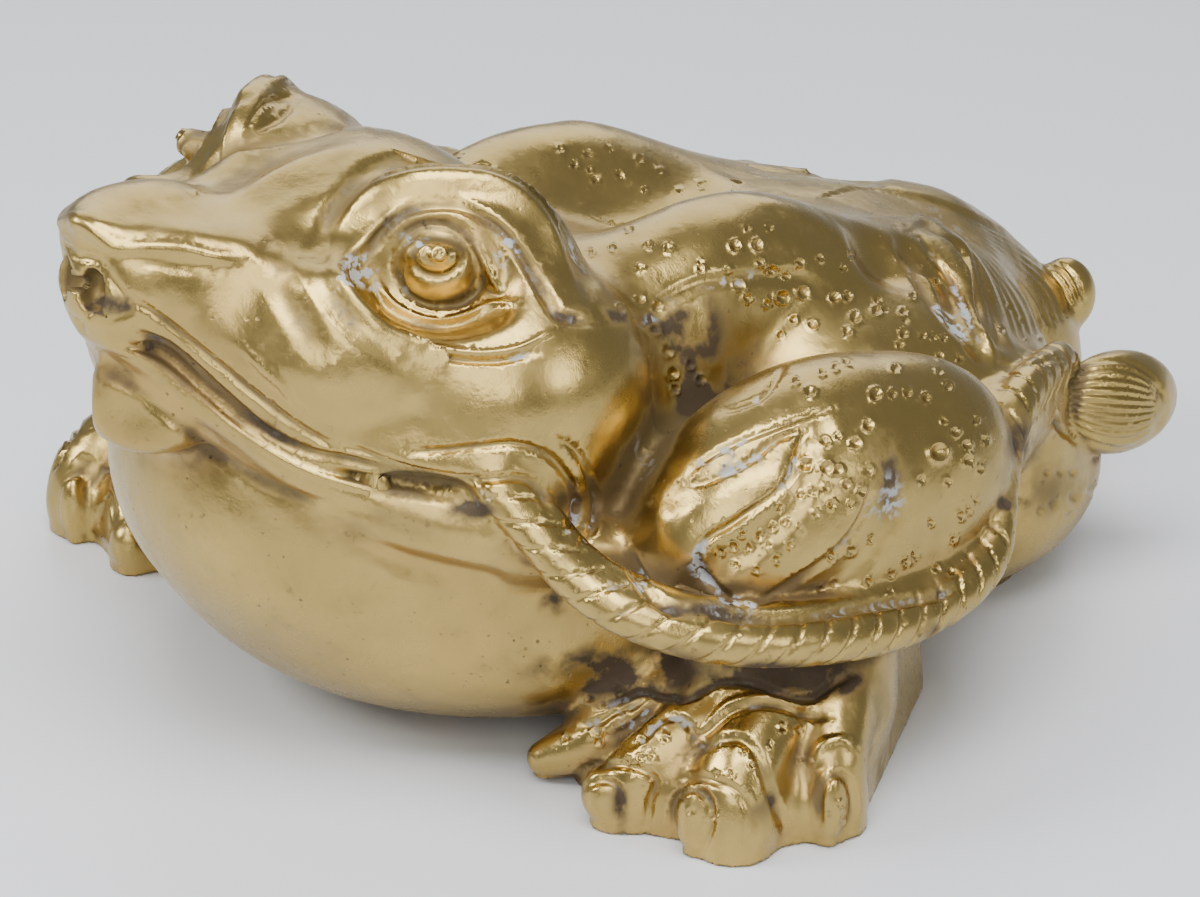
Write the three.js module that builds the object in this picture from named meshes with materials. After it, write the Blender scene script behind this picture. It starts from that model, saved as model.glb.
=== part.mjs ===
// A money toad in cast brass: one casting, crouched with its head up, with a
// twisted cord held in the mouth and a tassel over each haunch.
// Millimetres, +Z up. The toad faces -Y and its left side is +X.
import * as THREE from "three";

// Driving dimensions, in millimetres
const toadLength = 330; // tip of the snout to the tip of the tail
const cordThickness = 12; // the cord held in the mouth
const soleEdge = 2.6; // height of the straight edge round the flat soles

// The origin is on the floor under the middle of the casting's box, a little
// off the line of symmetry since the right foot is set further out
const underMiddle = [4.52, 1.42];

// The figure is a free form, so its pose, proportions and carving are shares
// of its length: every place and reach below is in thousandths of it.
const share = toadLength / 1000;
const triangleBudget = 9600;
const cellSize = 9; // grid step that the casting is first drawn on

const minus = (a, b) => [a[0] - b[0], a[1] - b[1], a[2] - b[2]];
const dot = (a, b) => a[0] * b[0] + a[1] * b[1] + a[2] * b[2];
const cross = (a, b) => [a[1] * b[2] - a[2] * b[1], a[2] * b[0] - a[0] * b[2], a[0] * b[1] - a[1] * b[0]];

// Soft joins and cuts between two distances, over a width of k
function join(a, b, k) {
  const h = Math.max(k - Math.abs(a - b), 0) / k;
  return Math.min(a, b) - (h * h * k) / 4;
}

// Shapes give the distance of a point from their surface, negative inside.
// Each has a ball round it, so that far points are passed over quickly.
function egg(centre, radii, turn = [0, 0, 0]) {
  const spin = new THREE.Euler(...turn.map(THREE.MathUtils.degToRad), "ZYX");
  const m = new THREE.Matrix4().makeRotationFromEuler(spin).transpose().elements;
  const [cx, cy, cz] = centre;
  const [rx, ry, rz] = radii;
  const distance = (x, y, z) => {
    const dx = x - cx;
    const dy = y - cy;
    const dz = z - cz;
    const ux = (m[0] * dx + m[4] * dy + m[8] * dz) / rx;
    const uy = (m[1] * dx + m[5] * dy + m[9] * dz) / ry;
    const uz = (m[2] * dx + m[6] * dy + m[10] * dz) / rz;
    const near = Math.hypot(ux, uy, uz);
    const slope = Math.hypot(ux / rx, uy / ry, uz / rz);
    return slope < 1e-9 ? -Math.min(rx, ry, rz) : (near * (near - 1)) / slope;
  };
  return { distance, centre, reach: Math.max(rx, ry, rz) };
}

// A limb runs through its joints on a smooth curve, as thick as each joint says
function limb(joints, steps = 6) {
  const spine = new THREE.CatmullRomCurve3(
    joints.map(([x, y, z]) => new THREE.Vector3(x, y, z)), false, "catmullrom", 0.5);
  const count = (joints.length - 1) * steps;
  const knots = [];
  for (let i = 0; i <= count; i += 1) {
    const t = (i / count) * (joints.length - 1);
    const j = Math.min(Math.floor(t), joints.length - 2);
    const p = spine.getPoint(i / count);
    knots.push([p.x, p.y, p.z, THREE.MathUtils.lerp(joints[j][3], joints[j + 1][3], t - j)]);
  }
  const middle = new THREE.Box3().setFromPoints(knots.map(([x, y, z]) => new THREE.Vector3(x, y, z)));
  const centre = middle.getCenter(new THREE.Vector3()).toArray();
  const thickest = Math.max(...knots.map((k) => k[3]));
  const reach = middle.getSize(new THREE.Vector3()).length() / 2 + thickest;
  const distance = (x, y, z) => {
    let least = 1e9;
    for (let i = 0; i < count; i += 1) {
      const a = knots[i];
      const b = knots[i + 1];
      const ex = b[0] - a[0];
      const ey = b[1] - a[1];
      const ez = b[2] - a[2];
      const px = x - a[0];
      const py = y - a[1];
      const pz = z - a[2];
      let t = (px * ex + py * ey + pz * ez) / (ex * ex + ey * ey + ez * ez + 1e-9);
      t = Math.min(Math.max(t, 0), 1);
      const d = Math.hypot(px - t * ex, py - t * ey, pz - t * ez) - (a[3] + t * (b[3] - a[3]));
      if (d < least) least = d;
    }
    return least;
  };
  return { distance, centre, reach };
}

// A block is what lies behind all of its planes, each given as a direction
// and how far along it the plane stands
function block(planes, soft, centre, reach) {
  const distance = (x, y, z) => {
    let f = -1e9;
    for (const [a, b, c, d] of planes) f = -join(-f, d - a * x - b * y - c * z, soft);
    return f;
  };
  return { distance, centre, reach };
}

// A feature can have a frame of its own: across, up and out of the surface
function frameAt(centre, azimuth, lift) {
  const a = THREE.MathUtils.degToRad(azimuth);
  const b = THREE.MathUtils.degToRad(lift);
  const axes = [
    [Math.cos(a), Math.sin(a), 0],
    [-Math.sin(b) * Math.sin(a), Math.sin(b) * Math.cos(a), Math.cos(b)],
    [Math.sin(a) * Math.cos(b), -Math.cos(a) * Math.cos(b), Math.sin(b)],
  ];
  const at = (across, up, out, ...rest) => [
    ...centre.map((c, i) => c + across * axes[0][i] + up * axes[1][i] + out * axes[2][i]), ...rest];
  const from = (p) => axes.map((axis) => dot(axis, minus(p, centre)));
  return { at, from, turn: [-lift, 0, azimuth] };
}

// The casting is a list of steps, taken in order: a mass is joined on, a hollow
// is cut away, a ridge or groove lifts or sinks the surface along a line. A
// carved line is drawn across and up in a frame, and cuts straight in.
const steps = [];
const mass = (shape, soft, paired = true) => steps.push({ kind: "mass", shape, soft, paired });
const hollow = (shape, soft, paired = true) => steps.push({ kind: "hollow", shape, soft, paired });
const groove = (line, depth, width, paired = true) =>
  steps.push({ kind: "line", shape: limb(line.map((p) => [...p, 0])), depth, soft: width, paired });
const ridge = (line, height, width, paired = true) => groove(line, -height, width, paired);
function carve(frame, line, depth, width, near = 70) {
  const drawn = limb(line.map((p) => [...p, 0, 0]));
  const distance = (x, y, z) => {
    const [across, up, out] = frame.from([x, y, z]);
    return Math.abs(out) > near ? width : drawn.distance(across, up, 0);
  };
  const shape = { distance, centre: frame.at(...drawn.centre), reach: drawn.reach + near };
  steps.push({ kind: "line", shape, depth, soft: width, paired: true });
}

function form(x, y, height) {
  let f = 1e9;
  const side = Math.abs(x);
  const z = Math.max(height, soleEdge / share);
  for (const { kind, shape, soft, paired, depth } of steps) {
    const px = paired ? side : x;
    const [cx, cy, cz] = shape.centre;
    const away = Math.hypot(px - cx, y - cy, z - cz) - shape.reach;
    if (kind === "mass") {
      if (away > f + soft) continue;
      f = join(f, shape.distance(px, y, z), soft);
    } else if (kind === "hollow") {
      if (away > soft - f && away > 0) continue;
      f = -join(-f, shape.distance(px, y, z), soft);
    } else {
      if (away > soft) continue;
      const u = shape.distance(px, y, z) / soft;
      if (u < 1) f += depth * (1 - u * u) ** 2;
    }
  }
  return f;
}

// Trunk
mass(egg([0, 90, 170], [225, 290, 140]), 60, false);
mass(egg([0, -205, 200], [225, 226, 170]), 60, false); // throat
mass(egg([0, -128, 108], [258, 222, 118]), 60, false); // belly
mass(limb([[98, -150, 306, 62], [103, -60, 311, 64], [103, 0, 305, 64], [100, 70, 286, 62],
  [98, 170, 225, 60], [80, 280, 160, 60]]), 45); // back
mass(egg([140, 235, 92], [105, 130, 95]), 40); // haunch
mass(limb([[190, 60, 215, 60], [185, 150, 200, 62], [190, 230, 150, 55]]), 40); // flank
hollow(egg([245, 15, 330], [60, 110, 45], [0, 20, 0]), 40); // between back and arm
hollow(egg([215, -95, 300], [34, 50, 60]), 30); // behind the jowl
hollow(egg([152, 152, 312], [26, 34, 34]), 20); // pocket before the fold of the back
mass(limb([[92, 215, 262, 16], [112, 232, 262, 17], [140, 228, 254, 15], [172, 206, 244, 12],
  [215, 182, 232, 8]]), 10); // fold of the back
groove([[130, 190, 285], [160, 200, 262], [200, 176, 250], [222, 170, 240]], 9, 22);
groove([[118, 262, 262], [160, 238, 245], [205, 208, 235]], 8, 22);

// Head
mass(egg([0, -250, 345], [140, 150, 106]), 50, false); // crown
mass(block([[0.173, 0.113, 0.978, 384], [0.844, -0.458, 0.279, 366], [0.268, -0.858, -0.436, 233],
  [0, 1, 0, -300], [0, 0, -1, -360]], 14, [0, -400, 400], 140), 25); // snout
mass(egg([0, -452, 388], [52, 44, 42]), 22, false); // muzzle
mass(egg([95, -300, 340], [85, 110, 85]), 40); // cheek
mass(egg([150, -230, 300], [100, 105, 95]), 40); // jowl
hollow(egg([100, -352, 448], [42, 50, 38]), 20); // between snout and brow
mass(egg([0, -436, 298], [58, 50, 42]), 24, false); // chin
mass(egg([0, -400, 345], [60, 50, 50]), 20, false);
mass(egg([200, -285, 240], [38, 34, 34]), 14);
mass(limb([[0, -462, 380, 26], [40, -428, 355, 26], [100, -378, 305, 28], [150, -338, 282, 28],
  [205, -285, 272, 26], [225, -245, 262, 22]]), 20); // upper lip
mass(limb([[0, -455, 342, 24], [48, -420, 308, 24], [90, -390, 268, 24], [150, -344, 238, 26],
  [205, -290, 215, 28], [238, -225, 195, 24]]), 20); // lower lip
ridge([[10, -478, 408], [37, -450, 373], [82, -414, 329], [129, -377, 290], [182, -334, 277],
  [227, -298, 272]], 7, 18); // upper crest
groove([[30, -466, 372], [63, -430, 338], [100, -397, 300], [140, -366, 280], [190, -328, 268]], 5, 18);
groove([[0, -484, 368], [38, -453, 345], [64, -431, 316], [104, -397, 280], [150, -362, 262],
  [228, -299, 259]], 14, 20); // mouth
ridge([[6, -480, 362], [38, -455, 333], [80, -421, 294], [110, -397, 270], [151, -364, 248],
  [191, -332, 235], [230, -301, 222]], 7, 18); // lower lip's edge
groove([[7, -469, 341], [37, -446, 316], [73, -417, 278], [105, -391, 250], [167, -341, 207],
  [212, -305, 188]], 10, 24);
hollow(egg([36, -480, 302], [32, 26, 26], [0, 0, 35]), 10); // dimple in the chin
hollow(egg([22, -490, 400], [16, 18, 20], [0, 0, 38]), 5); // nostril

// Eyes
const eye = frameAt([123, -265, 397], 48, 26);
mass(egg(eye.at(6, -2, -40), [88, 80, 66], eye.turn), 20);
hollow(egg(eye.at(2, -14, 47), [66, 36, 48], eye.turn), 10);
mass(egg(eye.at(-3, -8, 8), [28, 28, 28], eye.turn), 4);
mass(egg(eye.at(-2, -4, 34), [19, 13, 14], eye.turn), 3); // iris
mass(limb([eye.at(-80, 8, 0, 9), eye.at(-62, 24, 3, 15), eye.at(-40, 40, 6, 16), eye.at(-16, 49, 8, 15),
  eye.at(8, 50, 7, 14), eye.at(32, 48, 2, 15), eye.at(52, 38, -3, 16), eye.at(66, 22, -6, 16),
  eye.at(73, 4, -8, 15), eye.at(79, -14, -10, 12), eye.at(86, -30, -12, 8), eye.at(94, -44, -14, 5)]), 8);
mass(limb([eye.at(-44, -6, 10, 6), eye.at(-34, 11, 16, 7), eye.at(-18, 25, 19, 8), eye.at(3, 28, 20, 8),
  eye.at(20, 19, 19, 8), eye.at(31, 2, 17, 9), eye.at(38, -16, 14, 9), eye.at(52, -31, 9, 6)]), 5); // upper lid
mass(limb([eye.at(-48, -12, 7, 6), eye.at(-34, -26, 10, 7), eye.at(-16, -38, 13, 8), eye.at(4, -43, 14, 8),
  eye.at(24, -40, 12, 8), eye.at(50, -32, 8, 6)]), 5); // lower lid
mass(limb([eye.at(-76, -10, 0, 5), eye.at(-55, -37, 4, 5), eye.at(-16, -60, 6, 5.5), eye.at(30, -69, 5, 5.5),
  eye.at(62, -63, 0, 5), eye.at(86, -48, -6, 5)]), 6); // pouch

// Arms
const arm = frameAt([345, -120, 240], 50, 24);
mass(egg([282, -62, 207], [86, 148, 96], [6, 0, 0]), 22);
mass(egg([286, 35, 200], [72, 92, 84]), 22); // elbow
mass(limb([[262, -190, 190, 24], [300, -150, 172, 36], [316, -80, 164, 43], [314, 0, 160, 45],
  [290, 62, 170, 44], [262, 125, 168, 40], [230, 180, 165, 36]]), 16); // under the arm, behind the cord
mass(limb([[296, -132, 150, 42], [308, -132, 100, 50]]), 20);
mass(limb([[288, 90, 190, 30], [258, 160, 192, 32], [222, 235, 182, 30]]), 14);

// Carving of the arm, drawn on its face from the front
carve(arm, [[0, 28], [-6, 2], [-30, -24], [-62, -46], [-79, -62], [-66, -88], [-38, -104]], 9, 15);
carve(arm, [[-38, -98], [0, -74], [38, -42], [62, -8]], 7, 16);
carve(arm, [[-88, 2], [-58, 20], [-20, 38], [14, 50]], 7, 14); // leaf

// Feet, the right one set further forward and turned out more than the left
function foot(hand, ankle, turn) {
  const c = Math.cos(THREE.MathUtils.degToRad(turn));
  const s = Math.sin(THREE.MathUtils.degToRad(turn));
  const [ax, ay] = [300, -80];
  const placed = (shape) => ({
    distance: (x, y, z) => {
      const dx = hand * x - ankle[0];
      const dy = y - ankle[1];
      return shape.distance(ax + c * dx - s * dy, ay + s * dx + c * dy, z);
    },
    centre: [hand * ankle[0], ankle[1], shape.centre[2]],
    reach: shape.reach + Math.hypot(shape.centre[0] - ax, shape.centre[1] - ay),
  });
  const add = (shape, soft) => mass(placed(shape), soft, false);
  add(block([[0.827, 0.563, 0.1, 272], [0.2, -0.35, 0.91, 200], [-0.75, -0.6, 0.3, -35],
    [0.55, -0.8, 0.2, 318], [-0.7, 0.7, 0, -130]], 18, [325, -110, 50], 130), 20);
  add(limb([[282, -50, 160, 58], [322, -82, 70, 60]]), 25); // forearm
  add(limb([[292, -135, 86, 28], [256, -185, 56, 26], [222, -222, 30, 20], [203, -240, 18, 13]]), 10);
  add(limb([[318, -165, 78, 28], [300, -215, 50, 25], [288, -238, 24, 22], [288, -238, 4, 20]]), 10);
  add(egg([283, -252, 26], [16, 15, 20]), 5);
  add(limb([[345, -150, 80, 32], [362, -190, 54, 32], [368, -200, 26, 32], [366, -200, 4, 30]]), 10);
  add(egg([356, -228, 30], [13, 13, 28]), 5);
  add(limb([[370, -108, 74, 28], [388, -126, 52, 26], [392, -128, 24, 24], [392, -126, 4, 22]]), 10);
  add(egg([408, -146, 32], [12, 12, 28]), 5);
  add(limb([[225, -195, 8, 20], [284, -214, 14, 30], [318, -196, 24, 38], [352, -170, 26, 40],
    [376, -128, 20, 34]]), 12); // between the toes
  add(egg([226, -188, 40], [36, 34, 46]), 14);
}
foot(1, [300, -80], 0);
foot(-1, [350, -118], 18);

// Tail
mass(limb([[-20, 240, 195, 72], [-10, 320, 170, 92], [0, 390, 105, 92], [0, 400, 50, 80]]), 30, false);
mass(egg([38, 462, 148], [26, 26, 32]), 8, false);

// Cord
const cordRadius = cordThickness / 2 / share;
const cordLine = [[228, -303, 262], [258, -290, 233], [288, -278, 205], [325, -258, 186],
  [360, -215, 168], [380, -150, 152], [382, -65, 137], [370, 10, 135], [352, 62, 146], [330, 90, 178],
  [298, 130, 205], [262, 190, 213], [215, 272, 196]];
mass(limb(cordLine.slice(0, 9).map(([x, y, z]) => [x * 0.95, y * 0.97, z + 4, 20])), 8); // bed of the cord
mass(limb(cordLine.map((p, i) => [...p, cordRadius * Math.min(0.75 + i * 0.06, 0.95)]), 4), 5);
mass(egg([222, 332, 148], [34, 72, 42], [-14, 0, 8]), 5); // tassel

// The casting drawn on a grid of cubes, each cut into six tetrahedra, so that
// the shell is closed wherever the form is. Blocks of cubes far from the
// surface are filled in from their middle.
function drawShell() {
  const low = [-472, -520, 0];
  const high = [472, 530, 500];
  const blockSide = 4;
  const [nx, ny, nz] = low.map(
    (v, i) => Math.ceil((high[i] - v) / cellSize / blockSide) * blockSide + 1);
  const value = new Float32Array(nx * ny * nz);
  const index = (i, j, k) => (k * ny + j) * nx + i;
  const place = (i, j, k) => [low[0] + i * cellSize, low[1] + j * cellSize, low[2] + (k - 1) * cellSize];
  const farOff = blockSide * cellSize * 1.9;
  const half = blockSide / 2;
  const fillBlock = (bi, bj, bk) => {
    const middle = form(...place(bi + half, bj + half, bk + half));
    for (let k = bk; k < Math.min(bk + blockSide, nz); k += 1) {
      for (let j = bj; j < Math.min(bj + blockSide, ny); j += 1) {
        for (let i = bi; i < Math.min(bi + blockSide, nx); i += 1) {
          const f = Math.abs(middle) > farOff ? middle : form(...place(i, j, k));
          value[index(i, j, k)] = (k === 0 ? Math.abs(f) : f) || 1e-6;
        }
      }
    }
  };
  for (let k = 0; k < nz; k += blockSide) {
    for (let j = 0; j < ny; j += blockSide) {
      for (let i = 0; i < nx; i += blockSide) fillBlock(i, j, k);
    }
  }

  const corners = [[0, 0, 0], [1, 0, 0], [0, 1, 0], [1, 1, 0], [0, 0, 1], [1, 0, 1], [0, 1, 1], [1, 1, 1]];
  const tetrahedra = [[0, 1, 3, 7], [0, 3, 2, 7], [0, 2, 6, 7], [0, 6, 4, 7], [0, 4, 5, 7], [0, 5, 1, 7]];
  const offsets = corners.map((c) => index(...c));
  const points = [];
  const faces = [];
  const made = new Map();
  const crossing = (p, q, a, b) => {
    const key = a < b ? a * value.length + b : b * value.length + a;
    if (!made.has(key)) {
      const u = place(...p);
      const v = place(...q);
      const underfoot = p[2] === 0 || q[2] === 0;
      const t = underfoot ? 0.5 : Math.min(Math.max(value[a] / (value[a] - value[b]), 0.1), 0.9);
      const point = u.map((w, i) => w + t * (v[i] - w));
      if (underfoot) point[2] = low[2];
      made.set(key, points.length);
      points.push(point);
    }
    return made.get(key);
  };
  const cutTetrahedron = (cell, start, tetrahedron) => {
    const within = tetrahedron.filter((c) => value[start + offsets[c]] < 0);
    const without = tetrahedron.filter((c) => value[start + offsets[c]] >= 0);
    if (within.length === 0 || without.length === 0) return;
    let cuts;
    if (within.length === 1) cuts = without.map((w) => [within[0], w]);
    else if (without.length === 1) cuts = within.map((w) => [w, without[0]]);
    else {
      cuts = [[within[0], without[0]], [within[0], without[1]],
        [within[1], without[1]], [within[1], without[0]]];
    }
    // which way round is read off the middles of the cut edges, which never meet
    const middle = (set) => [0, 1, 2].map((n) => set.reduce((sum, c) => sum + corners[c][n], 0) / set.length);
    const out = minus(middle(without), middle(within));
    const [first, second, third] = cuts.map(middle);
    if (dot(cross(minus(second, first), minus(third, first)), out) < 0) cuts.reverse();
    const corner = (c) => corners[c].map((v, n) => v + cell[n]);
    const ring = cuts.map(([c, d]) => crossing(corner(c), corner(d), start + offsets[c], start + offsets[d]));
    for (let n = 2; n < ring.length; n += 1) faces.push([ring[0], ring[n - 1], ring[n]]);
  };
  for (let k = 0; k < nz - 1; k += 1) {
    for (let j = 0; j < ny - 1; j += 1) {
      for (let i = 0; i < nx - 1; i += 1) {
        const start = index(i, j, k);
        const inside = offsets.filter((offset) => value[start + offset] < 0).length;
        if (inside === 0 || inside === corners.length) continue;
        for (const tetrahedron of tetrahedra) cutTetrahedron([i, j, k], start, tetrahedron);
      }
    }
  }
  return { points, faces };
}

// The face is looked at closest, so it is thinned with more care
const careAt = [eye.at(0, 0, 10), eye.at(10, -40, 10), [40, -465, 380], [130, -390, 290]];
function care([x, y, z]) {
  const away = Math.min(...careAt.map((c) => Math.hypot(Math.abs(x) - c[0], y - c[1], z - c[2])));
  return 1 + 12 * Math.exp(-((away / 70) ** 2));
}

// The shell thinned to a number of faces: the edge whose loss moves the
// surface least goes first, so that faces stay small where the carving is.
// Ten numbers a point hold the planes it should stay on.
function thinOut({ points, faces }, target) {
  const count = points.length;
  const planes = new Float64Array(count * 10);
  const around = points.map(() => new Set());
  const alive = faces.map(() => true);
  const onFloor = points.map((p) => p[2] === 0);
  const normalOf = (f) => cross(minus(points[f[1]], points[f[0]]), minus(points[f[2]], points[f[0]]));
  faces.forEach((face, id) => {
    const n = normalOf(face);
    const size = Math.hypot(...n) || 1e-12;
    const [a, b, c] = n.map((v) => v / size);
    const d = -(a * points[face[0]][0] + b * points[face[0]][1] + c * points[face[0]][2]);
    const terms = [a * a, a * b, a * c, a * d, b * b, b * c, b * d, c * c, c * d, d * d];
    const weight = size * care(points[face[0]]);
    for (const v of face) {
      around[v].add(id);
      terms.forEach((term, i) => { planes[v * 10 + i] += term * weight; });
    }
  });
  const strain = (q, [x, y, z]) => q[0] * x * x + 2 * q[1] * x * y + 2 * q[2] * x * z + 2 * q[3] * x
    + q[4] * y * y + 2 * q[5] * y * z + 2 * q[6] * y + q[7] * z * z + 2 * q[8] * z + q[9];
  const bestPlace = (q, u, v) => {
    const matrix = new THREE.Matrix3().set(q[0], q[1], q[2], q[1], q[4], q[5], q[2], q[5], q[7]);
    const middle = points[u].map((w, i) => (w + points[v][i]) / 2);
    const tries = [points[u], points[v], middle];
    if (Math.abs(matrix.determinant()) > 1e-3 * Math.max(q[0], q[4], q[7]) ** 3) {
      const solved = new THREE.Vector3(-q[3], -q[6], -q[8]).applyMatrix3(matrix.invert()).toArray();
      if (Math.hypot(...minus(solved, middle)) < Math.hypot(...minus(points[u], points[v]))) {
        tries.push(solved);
      }
    }
    const costs = tries.map((p) => strain(q, p));
    return tries[costs.indexOf(Math.min(...costs))];
  };
  const neighbours = (v) => {
    const found = new Set();
    for (const id of around[v]) for (const w of faces[id]) if (w !== v) found.add(w);
    return found;
  };

  const heap = [];
  const stamp = new Int32Array(count);
  const swap = (i, j) => { [heap[i], heap[j]] = [heap[j], heap[i]]; };
  const push = (item) => {
    let i = heap.push(item) - 1;
    while (i > 0 && heap[(i - 1) >> 1].cost > heap[i].cost) {
      swap(i, (i - 1) >> 1);
      i = (i - 1) >> 1;
    }
  };
  const pop = () => {
    const top = heap[0];
    const last = heap.pop();
    if (heap.length > 0) {
      heap[0] = last;
      let i = 0;
      for (;;) {
        let least = i;
        for (const child of [2 * i + 1, 2 * i + 2]) {
          if (child < heap.length && heap[child].cost < heap[least].cost) least = child;
        }
        if (least === i) break;
        swap(i, least);
        i = least;
      }
    }
    return top;
  };
  const offer = (u, v) => {
    const q = planes.subarray(u * 10, u * 10 + 10).map((term, i) => term + planes[v * 10 + i]);
    let place;
    if (onFloor[u] === onFloor[v]) place = [...bestPlace(q, u, v)];
    else place = [...points[onFloor[u] ? u : v]];
    if (onFloor[u] && onFloor[v]) place[2] = 0;
    const gap = minus(points[u], points[v]);
    const cost = strain(q, place) + 1e-3 * dot(gap, gap);
    push({ cost, u, v, place, stamps: [stamp[u], stamp[v]], tries: 0 });
  };
  // a merge must not fold a face over or make it narrower than it was
  const shapeOf = (corners, facing) => {
    const [p, q, r] = corners;
    const normal = cross(minus(q, p), minus(r, p));
    const size = Math.hypot(...normal) + 1e-12;
    const longest = Math.max(...[[p, q], [q, r], [r, p]].map(([s, t]) => Math.hypot(...minus(s, t))));
    return { facing: dot(normal, facing) / size, breadth: size / (longest * longest + 1e-12) };
  };
  const keepsShape = (v, other, place) => {
    const sum = [0, 0, 0];
    for (const id of around[v]) normalOf(faces[id]).forEach((w, i) => { sum[i] += w; });
    const size = Math.hypot(...sum) + 1e-12;
    const facing = sum.map((w) => w / size);
    for (const id of around[v]) {
      const face = faces[id];
      if (face.includes(other)) continue;
      const onSole = place[2] === 0 && face.every((w) => w === v || onFloor[w]);
      const way = onSole ? [0, 0, -1] : facing;
      const before = shapeOf(face.map((w) => points[w]), way);
      const after = shapeOf(face.map((w) => (w === v ? place : points[w])), way);
      if (after.facing < 0.45 && after.facing < before.facing) return false;
      if (after.breadth < 0.07 && after.breadth < before.breadth) return false;
    }
    return true;
  };
  const merge = ({ u, v, place }) => {
    const shared = [...neighbours(u)].filter((w) => neighbours(v).has(w));
    if (shared.length !== 2) return 0;
    if (!keepsShape(u, v, place) || !keepsShape(v, u, place)) return 0;
    let gone = 0;
    for (const id of [...around[v]]) {
      if (faces[id].includes(u)) {
        alive[id] = false;
        gone += 1;
        for (const w of faces[id]) around[w].delete(id);
      } else {
        faces[id] = faces[id].map((w) => (w === v ? u : w));
        around[u].add(id);
      }
    }
    around[v].clear();
    points[u] = place;
    onFloor[u] = onFloor[u] || onFloor[v];
    for (let i = 0; i < 10; i += 1) planes[u * 10 + i] += planes[v * 10 + i];
    stamp[v] = -1;
    stamp[u] += 1;
    for (const w of neighbours(u)) offer(Math.min(u, w), Math.max(u, w));
    return gone;
  };
  for (const [a, b, c] of faces) for (const [u, v] of [[a, b], [b, c], [c, a]]) if (u < v) offer(u, v);
  let left = faces.length;
  while (left > target && heap.length > 0) {
    const edge = pop();
    if (stamp[edge.u] !== edge.stamps[0] || stamp[edge.v] !== edge.stamps[1]) continue;
    const gone = merge(edge);
    left -= gone;
    // a refused edge is tried again later, when more has gone round it
    if (gone === 0 && edge.tries < 5) push({ ...edge, cost: edge.cost * 3 + 1, tries: edge.tries + 1 });
  }

  const renumber = new Map();
  const kept = [];
  const number = (v) => {
    if (!renumber.has(v)) {
      renumber.set(v, kept.length);
      kept.push(points[v]);
    }
    return renumber.get(v);
  };
  const thinned = faces.filter((face, id) => alive[id]).map((face) => face.map(number));
  return { points: kept, faces: thinned };
}

const shell = thinOut(drawShell(), triangleBudget);
const geometry = new THREE.BufferGeometry();
geometry.setAttribute("position", new THREE.Float32BufferAttribute(shell.points.flat().map((v) => v * share), 3));
geometry.setIndex(shell.faces.flat());
geometry.translate(...underMiddle, 0);
geometry.computeVertexNormals();

const brass = new THREE.MeshStandardMaterial({ color: 0xb08d45, metalness: 1, roughness: 0.3 });
const toad = new THREE.Mesh(geometry, brass);
toad.name = "money_toad";

const part = new THREE.Group();
part.add(toad);
export default part;
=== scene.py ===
# A money toad in cast brass, crouched with its head up, with a twisted cord in its mouth.
# The casting is one fine mesh drawn from much the same masses and cuts as the solid, with the
# finer carving added: warts, lids, lips, folds, the turns of the cord and the tassels.
import math

import bpy
import numpy as np
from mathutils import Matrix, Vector


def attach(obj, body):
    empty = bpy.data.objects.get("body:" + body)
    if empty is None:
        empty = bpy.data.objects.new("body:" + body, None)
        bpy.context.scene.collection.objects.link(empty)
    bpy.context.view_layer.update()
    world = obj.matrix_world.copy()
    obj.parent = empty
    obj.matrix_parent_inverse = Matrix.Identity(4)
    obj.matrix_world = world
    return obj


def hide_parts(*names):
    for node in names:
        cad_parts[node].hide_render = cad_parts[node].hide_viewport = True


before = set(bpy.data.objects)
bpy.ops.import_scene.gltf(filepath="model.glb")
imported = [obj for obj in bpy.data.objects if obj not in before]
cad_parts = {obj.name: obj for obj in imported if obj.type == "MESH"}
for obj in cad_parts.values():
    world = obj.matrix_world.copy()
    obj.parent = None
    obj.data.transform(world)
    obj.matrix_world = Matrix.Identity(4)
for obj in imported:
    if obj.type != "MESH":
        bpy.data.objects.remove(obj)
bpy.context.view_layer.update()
print("frame loaded")

# The toad
# Places and reaches are in thousandths of its length. The toad faces -Y, its left side is +X.
toad = dict(
    length=0.33,
    underMiddle=(0.00452, 0.00142, 0),  # what the casting is moved by, to stand over its middle
    cordThickness=0.012,
    cordTurn=24,  # how far apart the cord's grooves are along it
    soleEdge=0.0026,  # straight edge round the flat soles
    cell=13,  # step of the grid that the shell is first drawn on
    finest=1.4,  # carved edges are halved down to this
    bend=0.16,  # while the carving bends away from them by this
    farSide=3,  # and how many times further on the toad's right side
    coarse=5,  # plain edges are halved down to this
    halvings=5,
    slack=0.3,  # how far an edge may stand off the surface
    mostFaces=196000,
    gridLow=(-474, -522),  # the box that the grid fills
    gridHigh=(474, 532, 470),
    grooveReach=25,  # grooves and ridges change only what is this near the surface
    hollowNear=7,  # how far out the shade of narrow hollows is measured
    hollowFar=26,  # and of wide ones
)
share = toad["length"] / 1000
farOff = 90.0  # how far from the surface a point counts as being where no shape is near
unasked = 99.0  # how long edges may be as far as the carving goes, where there is none

# The camera, at the photograph's viewing angle
shot = dict(
    azimuth=50,
    lift=24.36,
    away=1.13243,
    lookAt=(0.00994, -0.00855, 0.04667),
    lens=132.03,
    sensor=36,
    picture=(1200, 897),
)


def camera():
    a, e = math.radians(shot["azimuth"]), math.radians(shot["lift"])
    back = Vector((math.sin(a) * math.cos(e), -math.cos(a) * math.cos(e), math.sin(e)))
    data = bpy.data.cameras.new("camera")
    data.lens, data.sensor_width = shot["lens"], shot["sensor"]
    data.clip_start, data.clip_end = 0.05, 20
    cam = bpy.data.objects.new("camera", data)
    cam.location = Vector(shot["lookAt"]) + back * shot["away"]
    cam.rotation_euler = (-back).to_track_quat("-Z", "Y").to_euler()
    bpy.context.scene.collection.objects.link(cam)
    bpy.context.scene.camera = cam
    return cam, back


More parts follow.
